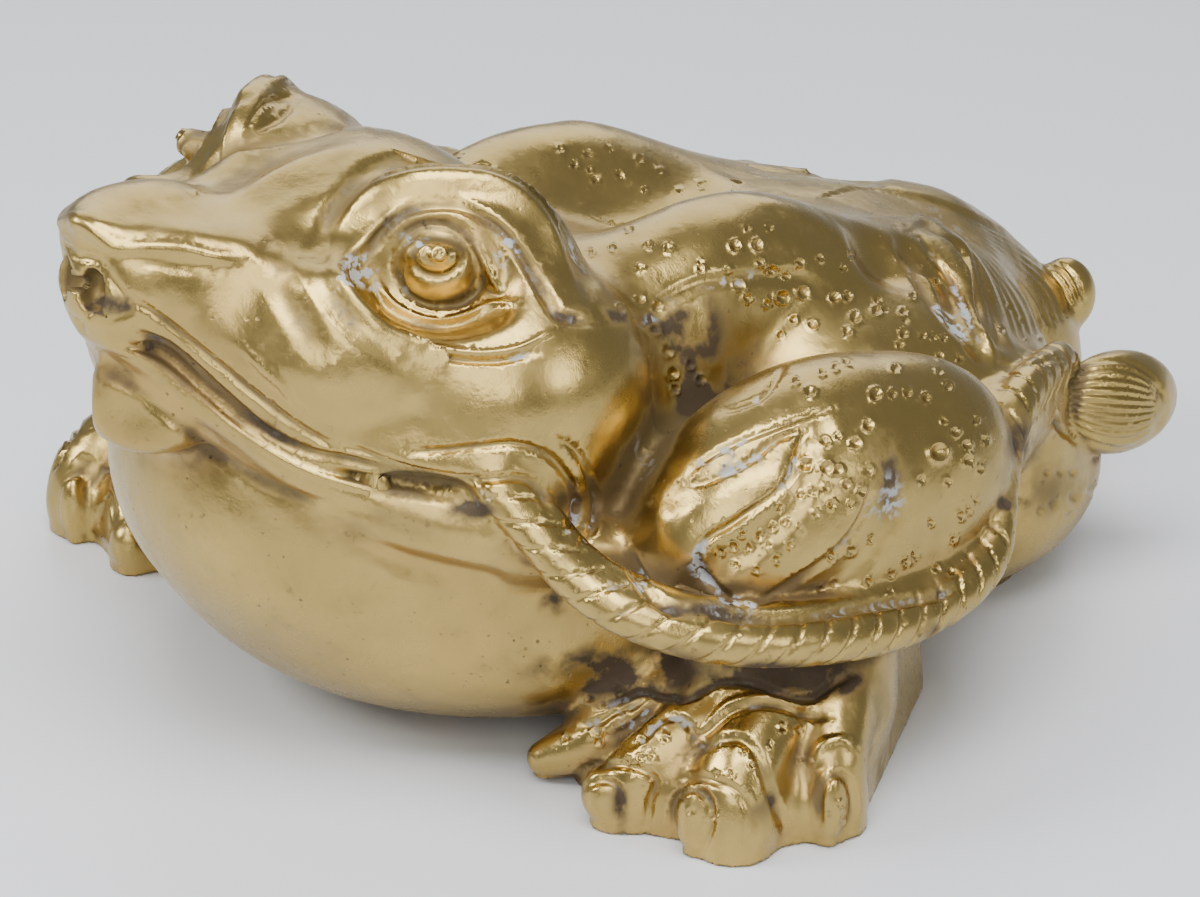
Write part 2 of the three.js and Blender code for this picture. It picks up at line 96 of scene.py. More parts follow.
cam, towardsCamera = camera()

# The fine carving is drawn as it is seen from the camera, on a picture 1200 across
forward = -np.array(towardsCamera)
right = np.array([forward[1], -forward[0], 0]) / math.hypot(forward[0], forward[1])
up = np.cross(right, forward)
wide, high = shot["picture"]
focal = wide * shot["lens"] / shot["sensor"]
lookingFrom = (np.array(cam.location) - np.array(toad["underMiddle"])) / share


# Where points fall in the picture, across and down, and how far they are from the camera
def seen(p):
    d = p - lookingFrom
    depth = d @ forward
    across, down = wide / 2 + focal * (d @ right) / depth, high / 2 - focal * (d @ up) / depth
    return np.stack([across, down], 1), depth


# Shapes: each gives the distance of points from its surface, negative inside, and a ball round it
def turned(degrees):
    a, b, c = (math.radians(t) for t in degrees)
    x = np.array([[1, 0, 0], [0, math.cos(a), -math.sin(a)], [0, math.sin(a), math.cos(a)]])
    y = np.array([[math.cos(b), 0, math.sin(b)], [0, 1, 0], [-math.sin(b), 0, math.cos(b)]])
    z = np.array([[math.cos(c), -math.sin(c), 0], [math.sin(c), math.cos(c), 0], [0, 0, 1]])
    return z @ y @ x


def egg(centre, radii, turn=(0, 0, 0)):
    centre, radii, spin = np.array(centre, float), np.array(radii, float), turned(turn)

    def distance(p):
        u = (p - centre) @ spin / radii
        near = np.sqrt((u * u).sum(1))
        slope = np.sqrt(((u / radii) ** 2).sum(1)) + 1e-9
        return near * (near - 1) / slope
    return distance, centre, radii.max()


# The points of a line, with more between them on a smooth curve
def smooth(points, parts):
    points = np.array(points, float)
    ends = [2 * points[0] - points[1], *points, 2 * points[-1] - points[-2]]
    line = []
    for i in range(len(points) - 1):
        a, b, c, d = ends[i:i + 4]
        for t in np.arange(parts) / parts:
            line.append(0.5 * (2 * b + (c - a) * t + (2 * a - 5 * b + 4 * c - d) * t ** 2
                               + (3 * b - 3 * c + d - a) * t ** 3))
    return np.array([*line, points[-1]])


# How far each point is from a line, less the line's own thickness
def offLine(p, line, thick=None):
    a, e = line[:-1], line[1:] - line[:-1]
    size = (e * e).sum(1) + 1e-9
    along = p @ e.T - (a * e).sum(1)
    t = np.clip(along / size, 0, 1)
    square = (p * p).sum(1)[:, None] - 2 * p @ a.T + (a * a).sum(1) + t * (t * size - 2 * along)
    d = np.sqrt(np.maximum(square, 0))
    if thick is not None:
        d -= thick[:-1] + t * np.diff(thick)
    return d.min(1)


# A rounded line through joints, each given as its place and its thickness
def limb(joints, parts=6):
    joints = np.array(joints, float)
    line = smooth(joints[:, :3], parts)
    thick = np.interp(np.arange(len(line)) / parts, np.arange(len(joints)), joints[:, 3])
    low, high = line.min(0), line.max(0)
    reach = np.linalg.norm(high - low) / 2 + thick.max()
    return lambda p: offLine(p, line, thick), (low + high) / 2, reach


# The nearer of two distances, with the corner between them filled softly
def join(a, b, soft):
    h = np.maximum(soft - np.abs(a - b), 0) / soft
    return np.minimum(a, b) - h * h * soft / 4


# What lies inside all of some planes, with softened edges
def block(planes, soft, centre, reach):
    def distance(p):
        f = np.full(len(p), -1e9)
        for a, b, c, d in planes:
            f = -join(-f, d - p @ np.array([a, b, c]), soft)
        return f
    return distance, np.array(centre, float), reach


# A frame on the surface: across, up and out
def frameAt(centre, azimuth, lift):
    a, b = math.radians(azimuth), math.radians(lift)
    axes = np.array([
        [math.cos(a), math.sin(a), 0],
        [-math.sin(b) * math.sin(a), math.sin(b) * math.cos(a), math.cos(b)],
        [math.sin(a) * math.cos(b), -math.cos(a) * math.cos(b), math.sin(b)]])
    centre = np.array(centre, float)

    def at(across, up, out, *rest):
        return [*(centre + np.array([across, up, out]) @ axes), *rest]

    def into(p):
        return (p - centre) @ axes.T
    return at, into, (-lift, 0, azimuth)


# The casting is a list of steps taken in order. A mass is joined on, a hollow is cut away, and a
# line lifts or sinks the surface. What is paired is on both sides of the toad.
steps = []


def mass(shape, soft, paired=True):
    steps.append(("mass", *shape, soft, 0, paired))


def hollow(shape, soft, paired=True):
    steps.append(("hollow", *shape, soft, 0, paired))


def groove(line, depth, width, paired=True):
    steps.append(("line", *limb([(*p, 0) for p in line]), width, depth, paired))


def ridge(line, height, width, paired=True):
    groove(line, -height, width, paired)


# A groove drawn flat on a frame, cut where the surface is near it
def carve(placed, line, depth, width, near=70):
    at, into, _ = placed
    drawn = smooth(line, 6)

    def distance(p):
        q = into(p)
        return np.where(np.abs(q[:, 2]) > near, width, offLine(q[:, :2], drawn))
    middle = (drawn.min(0) + drawn.max(0)) / 2
    reach = np.linalg.norm(drawn.max(0) - drawn.min(0)) / 2
    steps.append(("line", distance, np.array(at(*middle, 0)), reach + near, width, depth, True))


# How far points are from the surface, less than 0 inside. Below the soles' edge it goes straight down.
def form(p, steps):
    f = np.full(len(p), 1e9)
    p = p.copy()
    p[:, 2] = np.maximum(p[:, 2], toad["soleEdge"] / share)
    mirrored = p.copy()
    mirrored[:, 0] = np.abs(p[:, 0])
    for kind, distance, centre, reach, soft, depth, paired in steps:
        q = mirrored if paired else p
        away = np.sqrt(((q - centre) ** 2).sum(1)) - reach
        if kind == "mass":
            i = np.flatnonzero(away <= f + soft)
        elif kind == "hollow":
            i = np.flatnonzero((away <= soft - f) | (away <= 0))
        else:
            i = np.flatnonzero((away <= soft) & (np.abs(f) < toad["grooveReach"]))
        if len(i) == 0:
            continue
        d = distance(q[i])
        if kind == "mass":
            f[i] = join(f[i], d, soft)
        elif kind == "hollow":
            f[i] = -join(-f[i], d, soft)
        else:
            u = d / soft
            f[i] += np.where(u < 1, depth * (1 - u * u) ** 2, 0)
    return f


# The form cut flat at the floor, worked out a patch at a time, true within room of the surface
def casting(p, room=14):
    patchSize = 90
    out = np.empty(len(p))
    patch = np.floor(p / patchSize).astype(int) + 50
    key = (patch[:, 0] * 100 + patch[:, 1]) * 100 + patch[:, 2]
    order = np.argsort(key, kind="stable")
    starts = np.flatnonzero(np.diff(key[order], prepend=-1))
    centres = np.array([step[2] for step in steps])
    reaches = np.array([step[3] + step[4] for step in steps]) + room
    paired = np.array([step[6] for step in steps])
    for ids in np.split(order, starts[1:]):
        q = p[ids]
        low, high = q.min(0), q.max(0)
        middle, spread = (low + high) / 2, np.linalg.norm(high - low) / 2
        gap = np.linalg.norm(centres - middle, axis=1)
        mirrored = np.linalg.norm(centres - middle * [-1, 1, 1], axis=1)
        gap = np.where(paired, np.minimum(gap, mirrored), gap)
        close = [step for step, near in zip(steps, gap < spread + reaches) if near]
        out[ids] = form(q, close) if close else farOff
    return np.maximum(out, -p[:, 2])


# Trunk
mass(egg([0, 90, 170], [225, 290, 140]), 60, False)
mass(egg([0, -205, 200], [225, 226, 170]), 60, False)  # throat
mass(egg([0, -128, 108], [258, 222, 118]), 60, False)  # belly
mass(limb([[98, -150, 250, 62], [103, -60, 288, 64], [103, 0, 299, 64], [100, 70, 286, 62],
           [98, 170, 225, 60], [80, 280, 160, 60]]), 45)  # back
mass(egg([140, 235, 92], [105, 130, 95]), 40)  # haunch
mass(limb([[190, 60, 215, 60], [185, 150, 200, 62], [190, 230, 150, 55]]), 40)  # flank
hollow(egg([245, 15, 330], [60, 110, 45], [0, 20, 0]), 40)  # between back and arm
hollow(egg([215, -95, 300], [34, 50, 60]), 30)  # behind the jowl
hollow(egg([152, 152, 312], [26, 34, 34]), 20)  # pocket before the fold of the back
mass(limb([[92, 215, 262, 16], [112, 232, 262, 17], [140, 228, 254, 15], [172, 206, 244, 12],
           [215, 182, 232, 8]]), 10)  # fold of the back
groove([[130, 190, 285], [160, 200, 262], [200, 176, 250], [222, 170, 240]], 9, 22)
groove([[118, 262, 262], [160, 238, 245], [205, 208, 235]], 8, 22)

# Head
mass(egg([0, -262, 343], [140, 132, 106]), 44, False)  # crown
mass(block([[0.173, 0.113, 0.978, 384], [0.844, -0.458, 0.279, 366], [0.268, -0.858, -0.436, 233],
            [0, 1, 0, -300], [0, 0, -1, -360]], 14, [0, -400, 400], 140), 25)  # snout
mass(egg([0, -452, 388], [52, 44, 42]), 22, False)  # muzzle
mass(egg([-20, -430, 424], [34, 54, 24]), 16, False)  # top of the snout's tip
mass(egg([95, -300, 340], [85, 110, 85]), 40)  # cheek
mass(egg([150, -230, 300], [100, 105, 95]), 40)  # jowl
hollow(egg([100, -352, 448], [42, 50, 38]), 20)  # between snout and brow
mass(egg([0, -436, 298], [58, 50, 42]), 24, False)  # chin
mass(egg([0, -400, 345], [60, 50, 50]), 20, False)
mass(egg([200, -285, 240], [38, 34, 34]), 14)
mass(limb([[0, -462, 380, 26], [40, -428, 355, 26], [100, -378, 305, 28], [150, -338, 282, 28],
           [205, -285, 272, 26], [225, -245, 262, 22]]), 20)  # upper lip
mass(limb([[0, -455, 342, 24], [48, -420, 308, 24], [90, -390, 268, 24], [150, -344, 238, 26],
           [205, -290, 215, 28], [238, -225, 195, 24]]), 20)  # lower lip
ridge([[10, -478, 408], [37, -450, 373], [82, -414, 329], [129, -377, 290], [182, -334, 277],
       [227, -298, 272]], 4, 18)  # upper crest
groove([[30, -466, 372], [63, -430, 338], [100, -397, 300], [140, -366, 280], [190, -328, 268]], 3, 18)
groove([[0, -484, 368], [38, -453, 345], [64, -431, 316], [104, -397, 280], [150, -362, 262],
        [228, -299, 259]], 7, 14)  # mouth
ridge([[6, -480, 362], [38, -455, 333], [80, -421, 294], [110, -397, 270], [151, -364, 248],
       [191, -332, 235], [230, -301, 222]], 4, 18)  # lower lip's edge
groove([[7, -469, 341], [37, -446, 316], [73, -417, 278], [105, -391, 250], [167, -341, 207],
        [212, -305, 188]], 6, 24)
hollow(egg([40, -484, 300], [38, 24, 32], [0, 0, 35]), 16)  # dimple in the chin
hollow(egg([15, -488, 395], [11, 14, 16], [0, 0, 38]), 4)  # nostril

# Eyes
eyeAt, _, eyeTurn = frameAt([123, -265, 397], 48, 26)
mass(egg(eyeAt(6, -2, -40), [88, 80, 66], eyeTurn), 20)
hollow(egg(eyeAt(2, -14, 47), [66, 36, 48], eyeTurn), 10)
mass(egg(eyeAt(-3, -8, 8), [28, 28, 28], eyeTurn), 4)
mass(egg(eyeAt(-4, -8, 9), [31, 29, 30], eyeTurn), 3)
mass(egg(eyeAt(-4, -2, 31), [22, 18, 13], eyeTurn), 2)  # iris
eyeFolds = dict(  # how softly each is joined on, and its joints on the eye's frame
    brow=(8, [(-80, 8, 0, 9), (-62, 24, 3, 15), (-40, 40, 6, 16), (-16, 49, 8, 15), (8, 50, 7, 14),
              (32, 48, 2, 15), (52, 38, -3, 16), (66, 22, -6, 16), (73, 4, -8, 15), (79, -14, -10, 12),
              (86, -30, -12, 8), (94, -44, -14, 5)]),
    upperLid=(5, [(-44, -6, 10, 6), (-34, 11, 16, 7), (-18, 25, 19, 8), (3, 28, 20, 8), (20, 19, 19, 8),
                  (31, 2, 17, 9), (38, -16, 14, 9), (52, -31, 9, 6)]),
    lowerLid=(5, [(-48, -12, 7, 6), (-34, -26, 10, 7), (-16, -38, 13, 8), (4, -43, 14, 8), (24, -40, 12, 8),
                  (50, -32, 8, 6)]),
    pouch=(6, [(-76, -10, 0, 5), (-55, -37, 4, 5), (-16, -60, 6, 5.5), (30, -69, 5, 5.5), (62, -63, 0, 5),
               (86, -48, -6, 5)]),
)
for soft, joints in eyeFolds.values():
    mass(limb([eyeAt(*joint) for joint in joints]), soft)

# Arms
arm = frameAt([345, -120, 240], 50, 24)
mass(egg([282, -62, 207], [86, 148, 96], [6, 0, 0]), 22)
mass(egg([286, 35, 200], [72, 92, 84]), 22)  # elbow
mass(limb([[262, -190, 190, 24], [300, -150, 172, 36], [316, -80, 164, 43], [314, 0, 160, 45],
           [290, 62, 170, 44], [262, 125, 168, 40], [230, 180, 165, 36]]), 16)  # under the arm
mass(limb([[296, -132, 150, 42], [308, -132, 100, 50]]), 20)
mass(limb([[288, 90, 190, 30], [258, 160, 192, 32], [222, 235, 182, 30]]), 14)
carve(arm, [[0, 28], [-6, 2], [-30, -24], [-62, -46], [-79, -62], [-66, -88], [-38, -104]], 5, 16)
carve(arm, [[-38, -98], [0, -74], [38, -42], [62, -8]], 6, 20)
carve(arm, [[-88, 2], [-58, 20], [-20, 38], [14, 50]], 3, 14)  # leaf


# Feet, the right one set further forward and turned out more than the left
def foot(hand, ankle, turn):
    c, s = math.cos(math.radians(turn)), math.sin(math.radians(turn))
    ax, ay = 300, -80  # the ankle that the shapes below are drawn round

    def placed(shape):
        distance, centre, reach = shape

        def moved(p):
            dx, dy = hand * p[:, 0] - ankle[0], p[:, 1] - ankle[1]
            return distance(np.stack([ax + c * dx - s * dy, ay + s * dx + c * dy, p[:, 2]], 1))
        off = math.hypot(centre[0] - ax, centre[1] - ay)
        return moved, np.array([hand * ankle[0], ankle[1], centre[2]]), reach + off

    def add(shape, soft):
        mass(placed(shape), soft, False)

    add(block([[0.827, 0.563, 0.1, 272], [0.2, -0.35, 0.91, 200], [-0.75, -0.6, 0.3, -35],
               [0.55, -0.8, 0.2, 318], [-0.7, 0.7, 0, -130]], 18, [325, -110, 50], 130), 20)
    add(limb([[282, -50, 160, 58], [322, -82, 70, 60]]), 25)  # forearm
    add(limb([[292, -135, 86, 28], [256, -185, 56, 26], [222, -222, 30, 20], [203, -240, 18, 13]]), 10)
    add(limb([[318, -165, 78, 28], [300, -215, 50, 25], [288, -238, 24, 22], [288, -238, 4, 20]]), 10)
    add(egg([283, -252, 26], [16, 15, 20]), 5)
    add(limb([[345, -150, 80, 32], [362, -190, 54, 32], [368, -200, 26, 32], [366, -200, 4, 30]]), 10)
    add(egg([356, -228, 30], [13, 13, 28]), 5)
    add(limb([[370, -108, 74, 28], [388, -126, 52, 26], [392, -128, 24, 24], [392, -126, 4, 22]]), 10)
    add(egg([408, -146, 32], [12, 12, 28]), 5)
    add(limb([[225, -195, 8, 20], [284, -214, 14, 30], [318, -196, 24, 38], [352, -170, 26, 40],
              [376, -128, 20, 34]]), 12)  # between the toes
    add(egg([226, -188, 40], [36, 34, 46]), 14)


foot(1, [300, -80], 0)
foot(-1, [350, -118], 18)

# Tail
mass(limb([[-20, 240, 195, 72], [-10, 320, 170, 92], [0, 390, 105, 92], [0, 400, 50, 80]]), 30, False)
mass(egg([38, 462, 148], [26, 26, 32]), 8, False)

# Cord
cordRadius = toad["cordThickness"] / 2 / share
cordLine = [[228, -303, 262], [258, -290, 233], [288, -278, 205], [325, -258, 186], [360, -215, 168],
            [380, -150, 152], [382, -65, 137], [370, 10, 135], [352, 62, 146], [330, 90, 178],
            [298, 130, 205], [262, 190, 213], [215, 272, 196]]
mass(limb([[x * 0.95, y * 0.97, z + 4, 20] for x, y, z in cordLine[:9]]), 8)
cordJoints = [[*p, cordRadius * min(0.75 + i * 0.06, 0.95)] for i, p in enumerate(cordLine)]
mass(limb(cordJoints, 4), 5)
mass(egg([222, 332, 148], [34, 72, 42], [-14, 0, 8]), 5)  # tassel


# Fine carving, drawn as it is seen in the picture from the camera. Depths and widths are in
# thousandths, and a depth below 0 stands up.
lines, dots = [], []
carved = dict(
    edgeOn=0.3,  # how much of the carving a surface takes where it is seen edge on
    growth=6,  # and how fast that grows as it turns to the camera
    fade=3,  # widths of a line over which it fades at an open end
    fadeCurve=0.7,
    fine=0.8,  # longest edge on a line, in widths of it
    farSide=1.6,  # how much longer edges may be on the toad's right side
)
wart = dict(
    full=5,  # size at which a wart is as deep and high as it is given
    pit=0.55,  # how wide the pit is, in sizes of the wart
    rim=1.05,  # how far out the rim is
    rimWidth=0.3,
    edge=1.6,  # how far out the mesh is fine
    fine=0.6,  # longest edge on a wart
    room=12,  # how far one may reach in the picture
    batch=20000,  # points worked out at once
)


# How far from the camera a point is, as all that is carved round it is kept near to
def awayOf(anchor):
    return seen(np.array([anchor], float))[1][0]


# Lines round one point of the surface, each by its name: how deep and wide it is, and its points
def etched(anchor, near, paired=True, **folds):
    for depth, width, line in folds.values():
        lines.append((smooth(line, 5), depth, width, awayOf(anchor), near, paired))


# Rings with a pit in the middle: each is across, down and its size in the picture, 4 where none is given
def warts(places, anchor, near=80, sink=1.5, lift=0.9, paired=True):
    places = np.array([(*place, 4)[:3] for place in places], float)
    dots.append((places, sink, lift, awayOf(anchor), near, paired))


# How much of the carving a surface takes, by how it is turned to the camera
def facing(out):
    return np.clip(carved["edgeOn"] - out @ forward * carved["growth"], 0, 1)


# The points that may be carved: near enough, turned to the camera and within a frame of the picture
def reached(view, away, near, low, high):
    at, distance, shows = view
    inFrame = (at >= low).all(1) & (at <= high).all(1)
    return np.flatnonzero((np.abs(distance - away) < near) & (shows > 0) & inFrame)


# How far the carving sinks each point, and how fine the mesh should be there. It is cut only where
# the surface is turned to the camera, or would be on the other side.
def relief(p, out):
    sink, fine = np.zeros(len(p)), np.full(len(p), unasked)
    side = np.where(p[:, :1] < 0, -1, 1) * [1, 0, 0] + [0, 1, 1]
    mirrored = p * side
    views = {True: (*seen(mirrored), facing(out * side)), False: (*seen(p), facing(out))}
    for drawn, depth, width, away, near, paired in lines:
        at, distance, shows = views[paired]
        room = width * focal / away
        i = reached(views[paired], away, near, drawn.min(0) - room, drawn.max(0) + room)
        if len(i) == 0:
            continue
        u = offLine(at[i], drawn) * distance[i] / focal / width
        fade = shows[i]
        if (drawn[0] != drawn[-1]).any():
            toEnd = np.minimum(*[np.hypot(*(at[i] - end).T) for end in (drawn[0], drawn[-1])])
            whole = np.clip(toEnd * distance[i] / focal / width / carved["fade"], 0, 1)
            fade = shows[i] * whole ** carved["fadeCurve"]
        sink[i] += np.where(u < 1, depth * (1 - u * u) ** 2, 0) * fade
        fine[i] = np.where(u < 1, np.minimum(fine[i], width * carved["fine"]), fine[i])
    for places, pit, rim, away, near, paired in dots:
        at, distance, shows = views[paired]
        low, high = places[:, :2].min(0) - wart["room"], places[:, :2].max(0) + wart["room"]
        i = reached(views[paired], away, near, low, high)
        for start in range(0, len(i), wart["batch"]):
            j = i[start:start + wart["batch"]]
            r = np.hypot(at[j, None, 0] - places[:, 0], at[j, None, 1] - places[:, 1])
            nearest = np.argmin(r / places[:, 2], 1)
            size = places[nearest, 2]
            r = r[np.arange(len(j)), nearest] / size
            mark = pit * np.exp(-(r / wart["pit"]) ** 2)
            mark = mark - rim * np.exp(-((r - wart["rim"]) / wart["rimWidth"]) ** 2)
            sink[j] += mark * size / wart["full"] * shows[j]
            fine[j] = np.where(r < wart["edge"], np.minimum(fine[j], size * wart["fine"]), fine[j])
    deep, wanted = turns(mirrored)
    return sink + deep, np.minimum(fine, wanted) * np.where(p[:, 0] < 0, carved["farSide"], 1)


# An oval as seen in the picture, closed
def ring(x, y, wide, high):
    return [(x + wide * math.cos(t), y + high * math.sin(t)) for t in np.linspace(0, 2 * math.pi, 13)]


# Eye: rings of the iris, the lids and the folds round them
eyeMiddle = [123, -265, 397]
etched(eyeMiddle, 60,
    irisEdge=(3, 4, ring(437, 257, 25, 20)),
    irisRing=(1.5, 4, ring(438, 254, 13, 11)),
    pupilRim=(-1.6, 3, ring(438, 253, 7, 6)),
    pupil=(2, 2.5, [(437, 252), (439, 253)]),
    upperLidEdge=(-2, 4, [(395, 246), (410, 233), (425, 227), (440, 226), (455, 230), (470, 241),
        (481, 256), (491, 276), (503, 296)]),
    underLid=(3, 4, [(400, 262), (399, 275), (405, 292), (422, 303), (440, 306), (460, 303), (476, 292),
        (487, 275)]),
    underBrow=(6, 7, [(362, 258), (372, 246), (386, 228), (402, 213), (430, 205), (460, 206), (490, 222),
        (510, 241), (530, 270), (548, 298), (562, 316), (600, 322)]),
    lowerLid=(-3, 4, [(376, 282), (390, 301), (410, 314), (430, 320), (450, 319), (470, 313), (492, 304),
        (520, 303)]),
    lidFold=(2, 4, [(372, 290), (388, 310), (408, 321), (430, 326), (455, 325), (480, 318)]),
    pouch=(-3, 4, [(338, 284), (358, 310), (380, 326), (402, 334), (430, 346), (455, 351), (482, 353),
        (510, 350), (532, 342), (556, 328)]),
    underPouch=(3, 4, [(345, 300), (372, 328), (400, 341), (430, 354), (462, 361), (500, 361), (535, 352)]),
    outsideBrow=(5, 11, [(318, 250), (336, 204), (372, 168), (438, 154), (495, 160), (540, 186), (568, 226),
        (584, 270), (596, 304)]))
etched([100, -330, 380], 60,
    besideEye=(4, 13, [(312, 258), (322, 284), (342, 310), (368, 336), (400, 356)]),
    besideSnout=(4, 15, [(276, 250), (284, 290), (306, 330), (334, 366)]))

# Snout, nostrils and lips
lips = [110, -390, 300]
etched([60, -430, 420], 80,
    snoutEdge=(-2.5, 7, [(66, 217), (84, 226), (102, 240), (118, 249), (150, 247), (185, 249), (215, 257),
        (248, 259)]))
etched([60, -430, 400], 80,
    underSnoutEdge=(2.5, 8, [(118, 258), (150, 262), (185, 268), (213, 270)]))
etched([20, -480, 380], 60,
    nostrilCurl=(2.5, 6, [(98, 262), (114, 284), (130, 308), (112, 318), (88, 318)]),
    nostrilTop=(3, 5, [(70, 257), (88, 259), (104, 266)]))
etched(lips, 80,
    aboveLip=(3.5, 5, [(130, 298), (160, 318), (205, 354), (260, 399), (302, 430), (340, 450)]),
    lipCrest=(-2, 5, [(240, 345), (262, 368), (282, 386), (302, 411)]))
etched(lips, 90,
    lowerLipEdge=(-2.5, 5, [(110, 345), (160, 366), (200, 398), (240, 432), (300, 468), (360, 487),
        (430, 496)]),
    mouthCrease=(4, 5, [(135, 332), (175, 352), (220, 392), (262, 428), (308, 452), (356, 462), (420, 480),
        (470, 487)]),
    underLowerLip=(2, 7, [(100, 372), (140, 394), (185, 430), (240, 470), (300, 498), (370, 514),
        (430, 540)]))

# Folds at the corner of the mouth
corner = [255, -290, 260]
etched(lips, 110,
    cornerCrease=(3.5, 5, [(340, 444), (400, 467), (440, 476), (480, 479), (520, 478), (540, 490),
        (551, 515)]))
etched(corner, 110,
    innerFold=(4, 5, [(408, 451), (440, 451), (480, 447), (515, 445), (545, 455), (562, 470), (573, 490),
        (576, 512), (564, 534)]),
    outerFold=(3.5, 5, [(560, 438), (576, 451), (586, 468), (594, 488), (597, 508), (592, 530),
        (582, 544)]))
etched([330, -220, 200], 80,
    besideArm=(4.5, 7, [(628, 545), (632, 562), (641, 580), (652, 595), (668, 607), (695, 618)]))

# Arm: the flame, the leaf and the folds round the elbow
armMiddle = [345, -120, 240]
etched(armMiddle, 90,
    flame=(4, 5, [(806, 430), (800, 446), (796, 462), (788, 480), (772, 497), (750, 511), (728, 526),
        (710, 537), (700, 550), (698, 562), (704, 575), (716, 588), (730, 599), (750, 608)]),
    leafTop=(2.5, 4, [(686, 481), (692, 470), (710, 456), (740, 441), (770, 429), (800, 419), (832, 408)]),
    leafUnder=(2.5, 4, [(688, 484), (702, 483), (730, 471), (755, 456), (776, 440), (800, 431)]),
    shoulderMark=(2.2, 4, [(720, 411), (740, 406), (764, 395), (777, 377), (786, 361)]),
    flameBack=(3, 5, [(870, 486), (868, 505), (858, 526), (842, 547), (820, 565), (800, 578), (775, 593),
        (748, 607)]))
etched([350, -60, 170], 110,
    underArm=(5, 6, [(700, 608), (740, 617), (790, 617), (840, 610), (890, 602), (935, 596), (965, 584)]))
armWarts = [(805, 465, 7), (826, 468, 7), (812, 492, 5), (800, 495), (826, 488), (785, 522), (760, 536, 5),
    (772, 528), (733, 547, 5), (748, 548), (768, 546), (810, 392, 6), (795, 381), (822, 372), (835, 367),
    (846, 362), (876, 395, 7), (893, 394, 5), (908, 393, 5), (926, 398, 5), (895, 369, 5), (948, 387, 5),
    (940, 372), (944, 420), (955, 432, 5), (966, 445, 5), (968, 460, 6), (938, 452, 9), (825, 442, 5),
    (838, 436), (855, 443, 6), (868, 425, 6), (868, 470, 5), (846, 485, 5), (862, 492, 5), (851, 506),
    (921, 480), (948, 482), (953, 540), (960, 516, 5), (968, 511), (975, 500), (930, 523), (871, 540),
    (850, 551, 5), (832, 558), (820, 590), (834, 583), (868, 582), (890, 575), (906, 562), (914, 556),
    (937, 569), (950, 571), (890, 592), (780, 508), (742, 535), (720, 552), (735, 565), (756, 570),
    (776, 560), (790, 545), (800, 528), (816, 514), (832, 505, 5), (838, 470, 5), (985, 440), (980, 470),
    (975, 420)]
warts(armWarts, armMiddle, 110)

# Back: warts over the hollow and along the ridges
backMiddle = [120, 0, 300]
backWarts = [(740, 285, 6), (747, 298, 5), (782, 297, 7), (803, 292, 7), (835, 298, 6), (848, 297, 5),
    (855, 318, 6), (847, 332, 5), (876, 311, 5), (877, 300), (903, 312), (904, 334, 5), (900, 345),
    (923, 336), (934, 337), (944, 339), (658, 306, 5), (640, 300, 5), (620, 311, 6), (655, 330, 6),
    (667, 352, 6), (672, 374, 6), (690, 365, 5), (675, 390, 5), (700, 380, 5), (648, 245), (668, 248, 5),
    (630, 230), (612, 248), (590, 252), (640, 268), (700, 268), (728, 270), (735, 246, 6), (757, 245, 6),
    (773, 270, 5), (788, 276), (760, 262), (800, 262), (820, 258), (842, 268), (850, 256), (748, 228),
    (770, 228), (700, 262, 3), (793, 320), (812, 325, 5), (780, 335), (767, 304), (913, 296), (937, 282, 3),
    (940, 356), (960, 358)]
warts(backWarts, backMiddle, 190)
farBackWarts = [(588, 155), (596, 180), (560, 150), (640, 160), (620, 175), (660, 172), (575, 165),
    (700, 185), (610, 150, 3), (590, 170, 3), (645, 190, 3), (680, 192, 3)]
warts(farBackWarts, [-100, 0, 320], 150, paired=False)
etched([200, -60, 270], 120,
    overHollow=(3, 9, [(640, 345), (648, 322), (668, 300), (700, 284), (735, 279), (770, 276), (800, 278),
        (825, 292)]))
etched([160, 190, 260], 90,
    pocketFold=(4, 7, [(905, 262), (925, 290), (948, 320), (973, 346)]),
    pocketEdge=(3, 5, [(920, 240), (938, 262), (955, 290), (972, 325), (985, 350)]))
etched([160, 200, 250], 90,
    foldCrest=(-3, 6, [(905, 226), (925, 220), (946, 233), (965, 252), (977, 292), (990, 338)]))
etched([100, 60, 350], 120,
    backRidge=(-1.5, 8, [(640, 207), (690, 198), (722, 193), (762, 200), (800, 213), (835, 232),
        (862, 262)]))

# Hood of the far eye: two sunken leaves
etched([-40, -300, 440], 120, False,
    hoodFoot=(7, 15, [(196, 190), (227, 180), (260, 158), (300, 139), (340, 130), (368, 127)]))
etched([-110, -235, 440], 90, False,
    leafTopEdge=(2.5, 4, [(246, 131), (256, 112), (272, 100), (297, 98)]),
    leafLowEdge=(2.5, 4, [(246, 131), (262, 126), (282, 116), (297, 98)]),
    secondLeaf=(2.5, 4, [(283, 84), (303, 84), (325, 93), (345, 110)]))
etched([-140, -260, 420], 90, False,
    hoodEdge=(2.5, 4, [(207, 182), (212, 160), (220, 131), (232, 104), (255, 88)]))

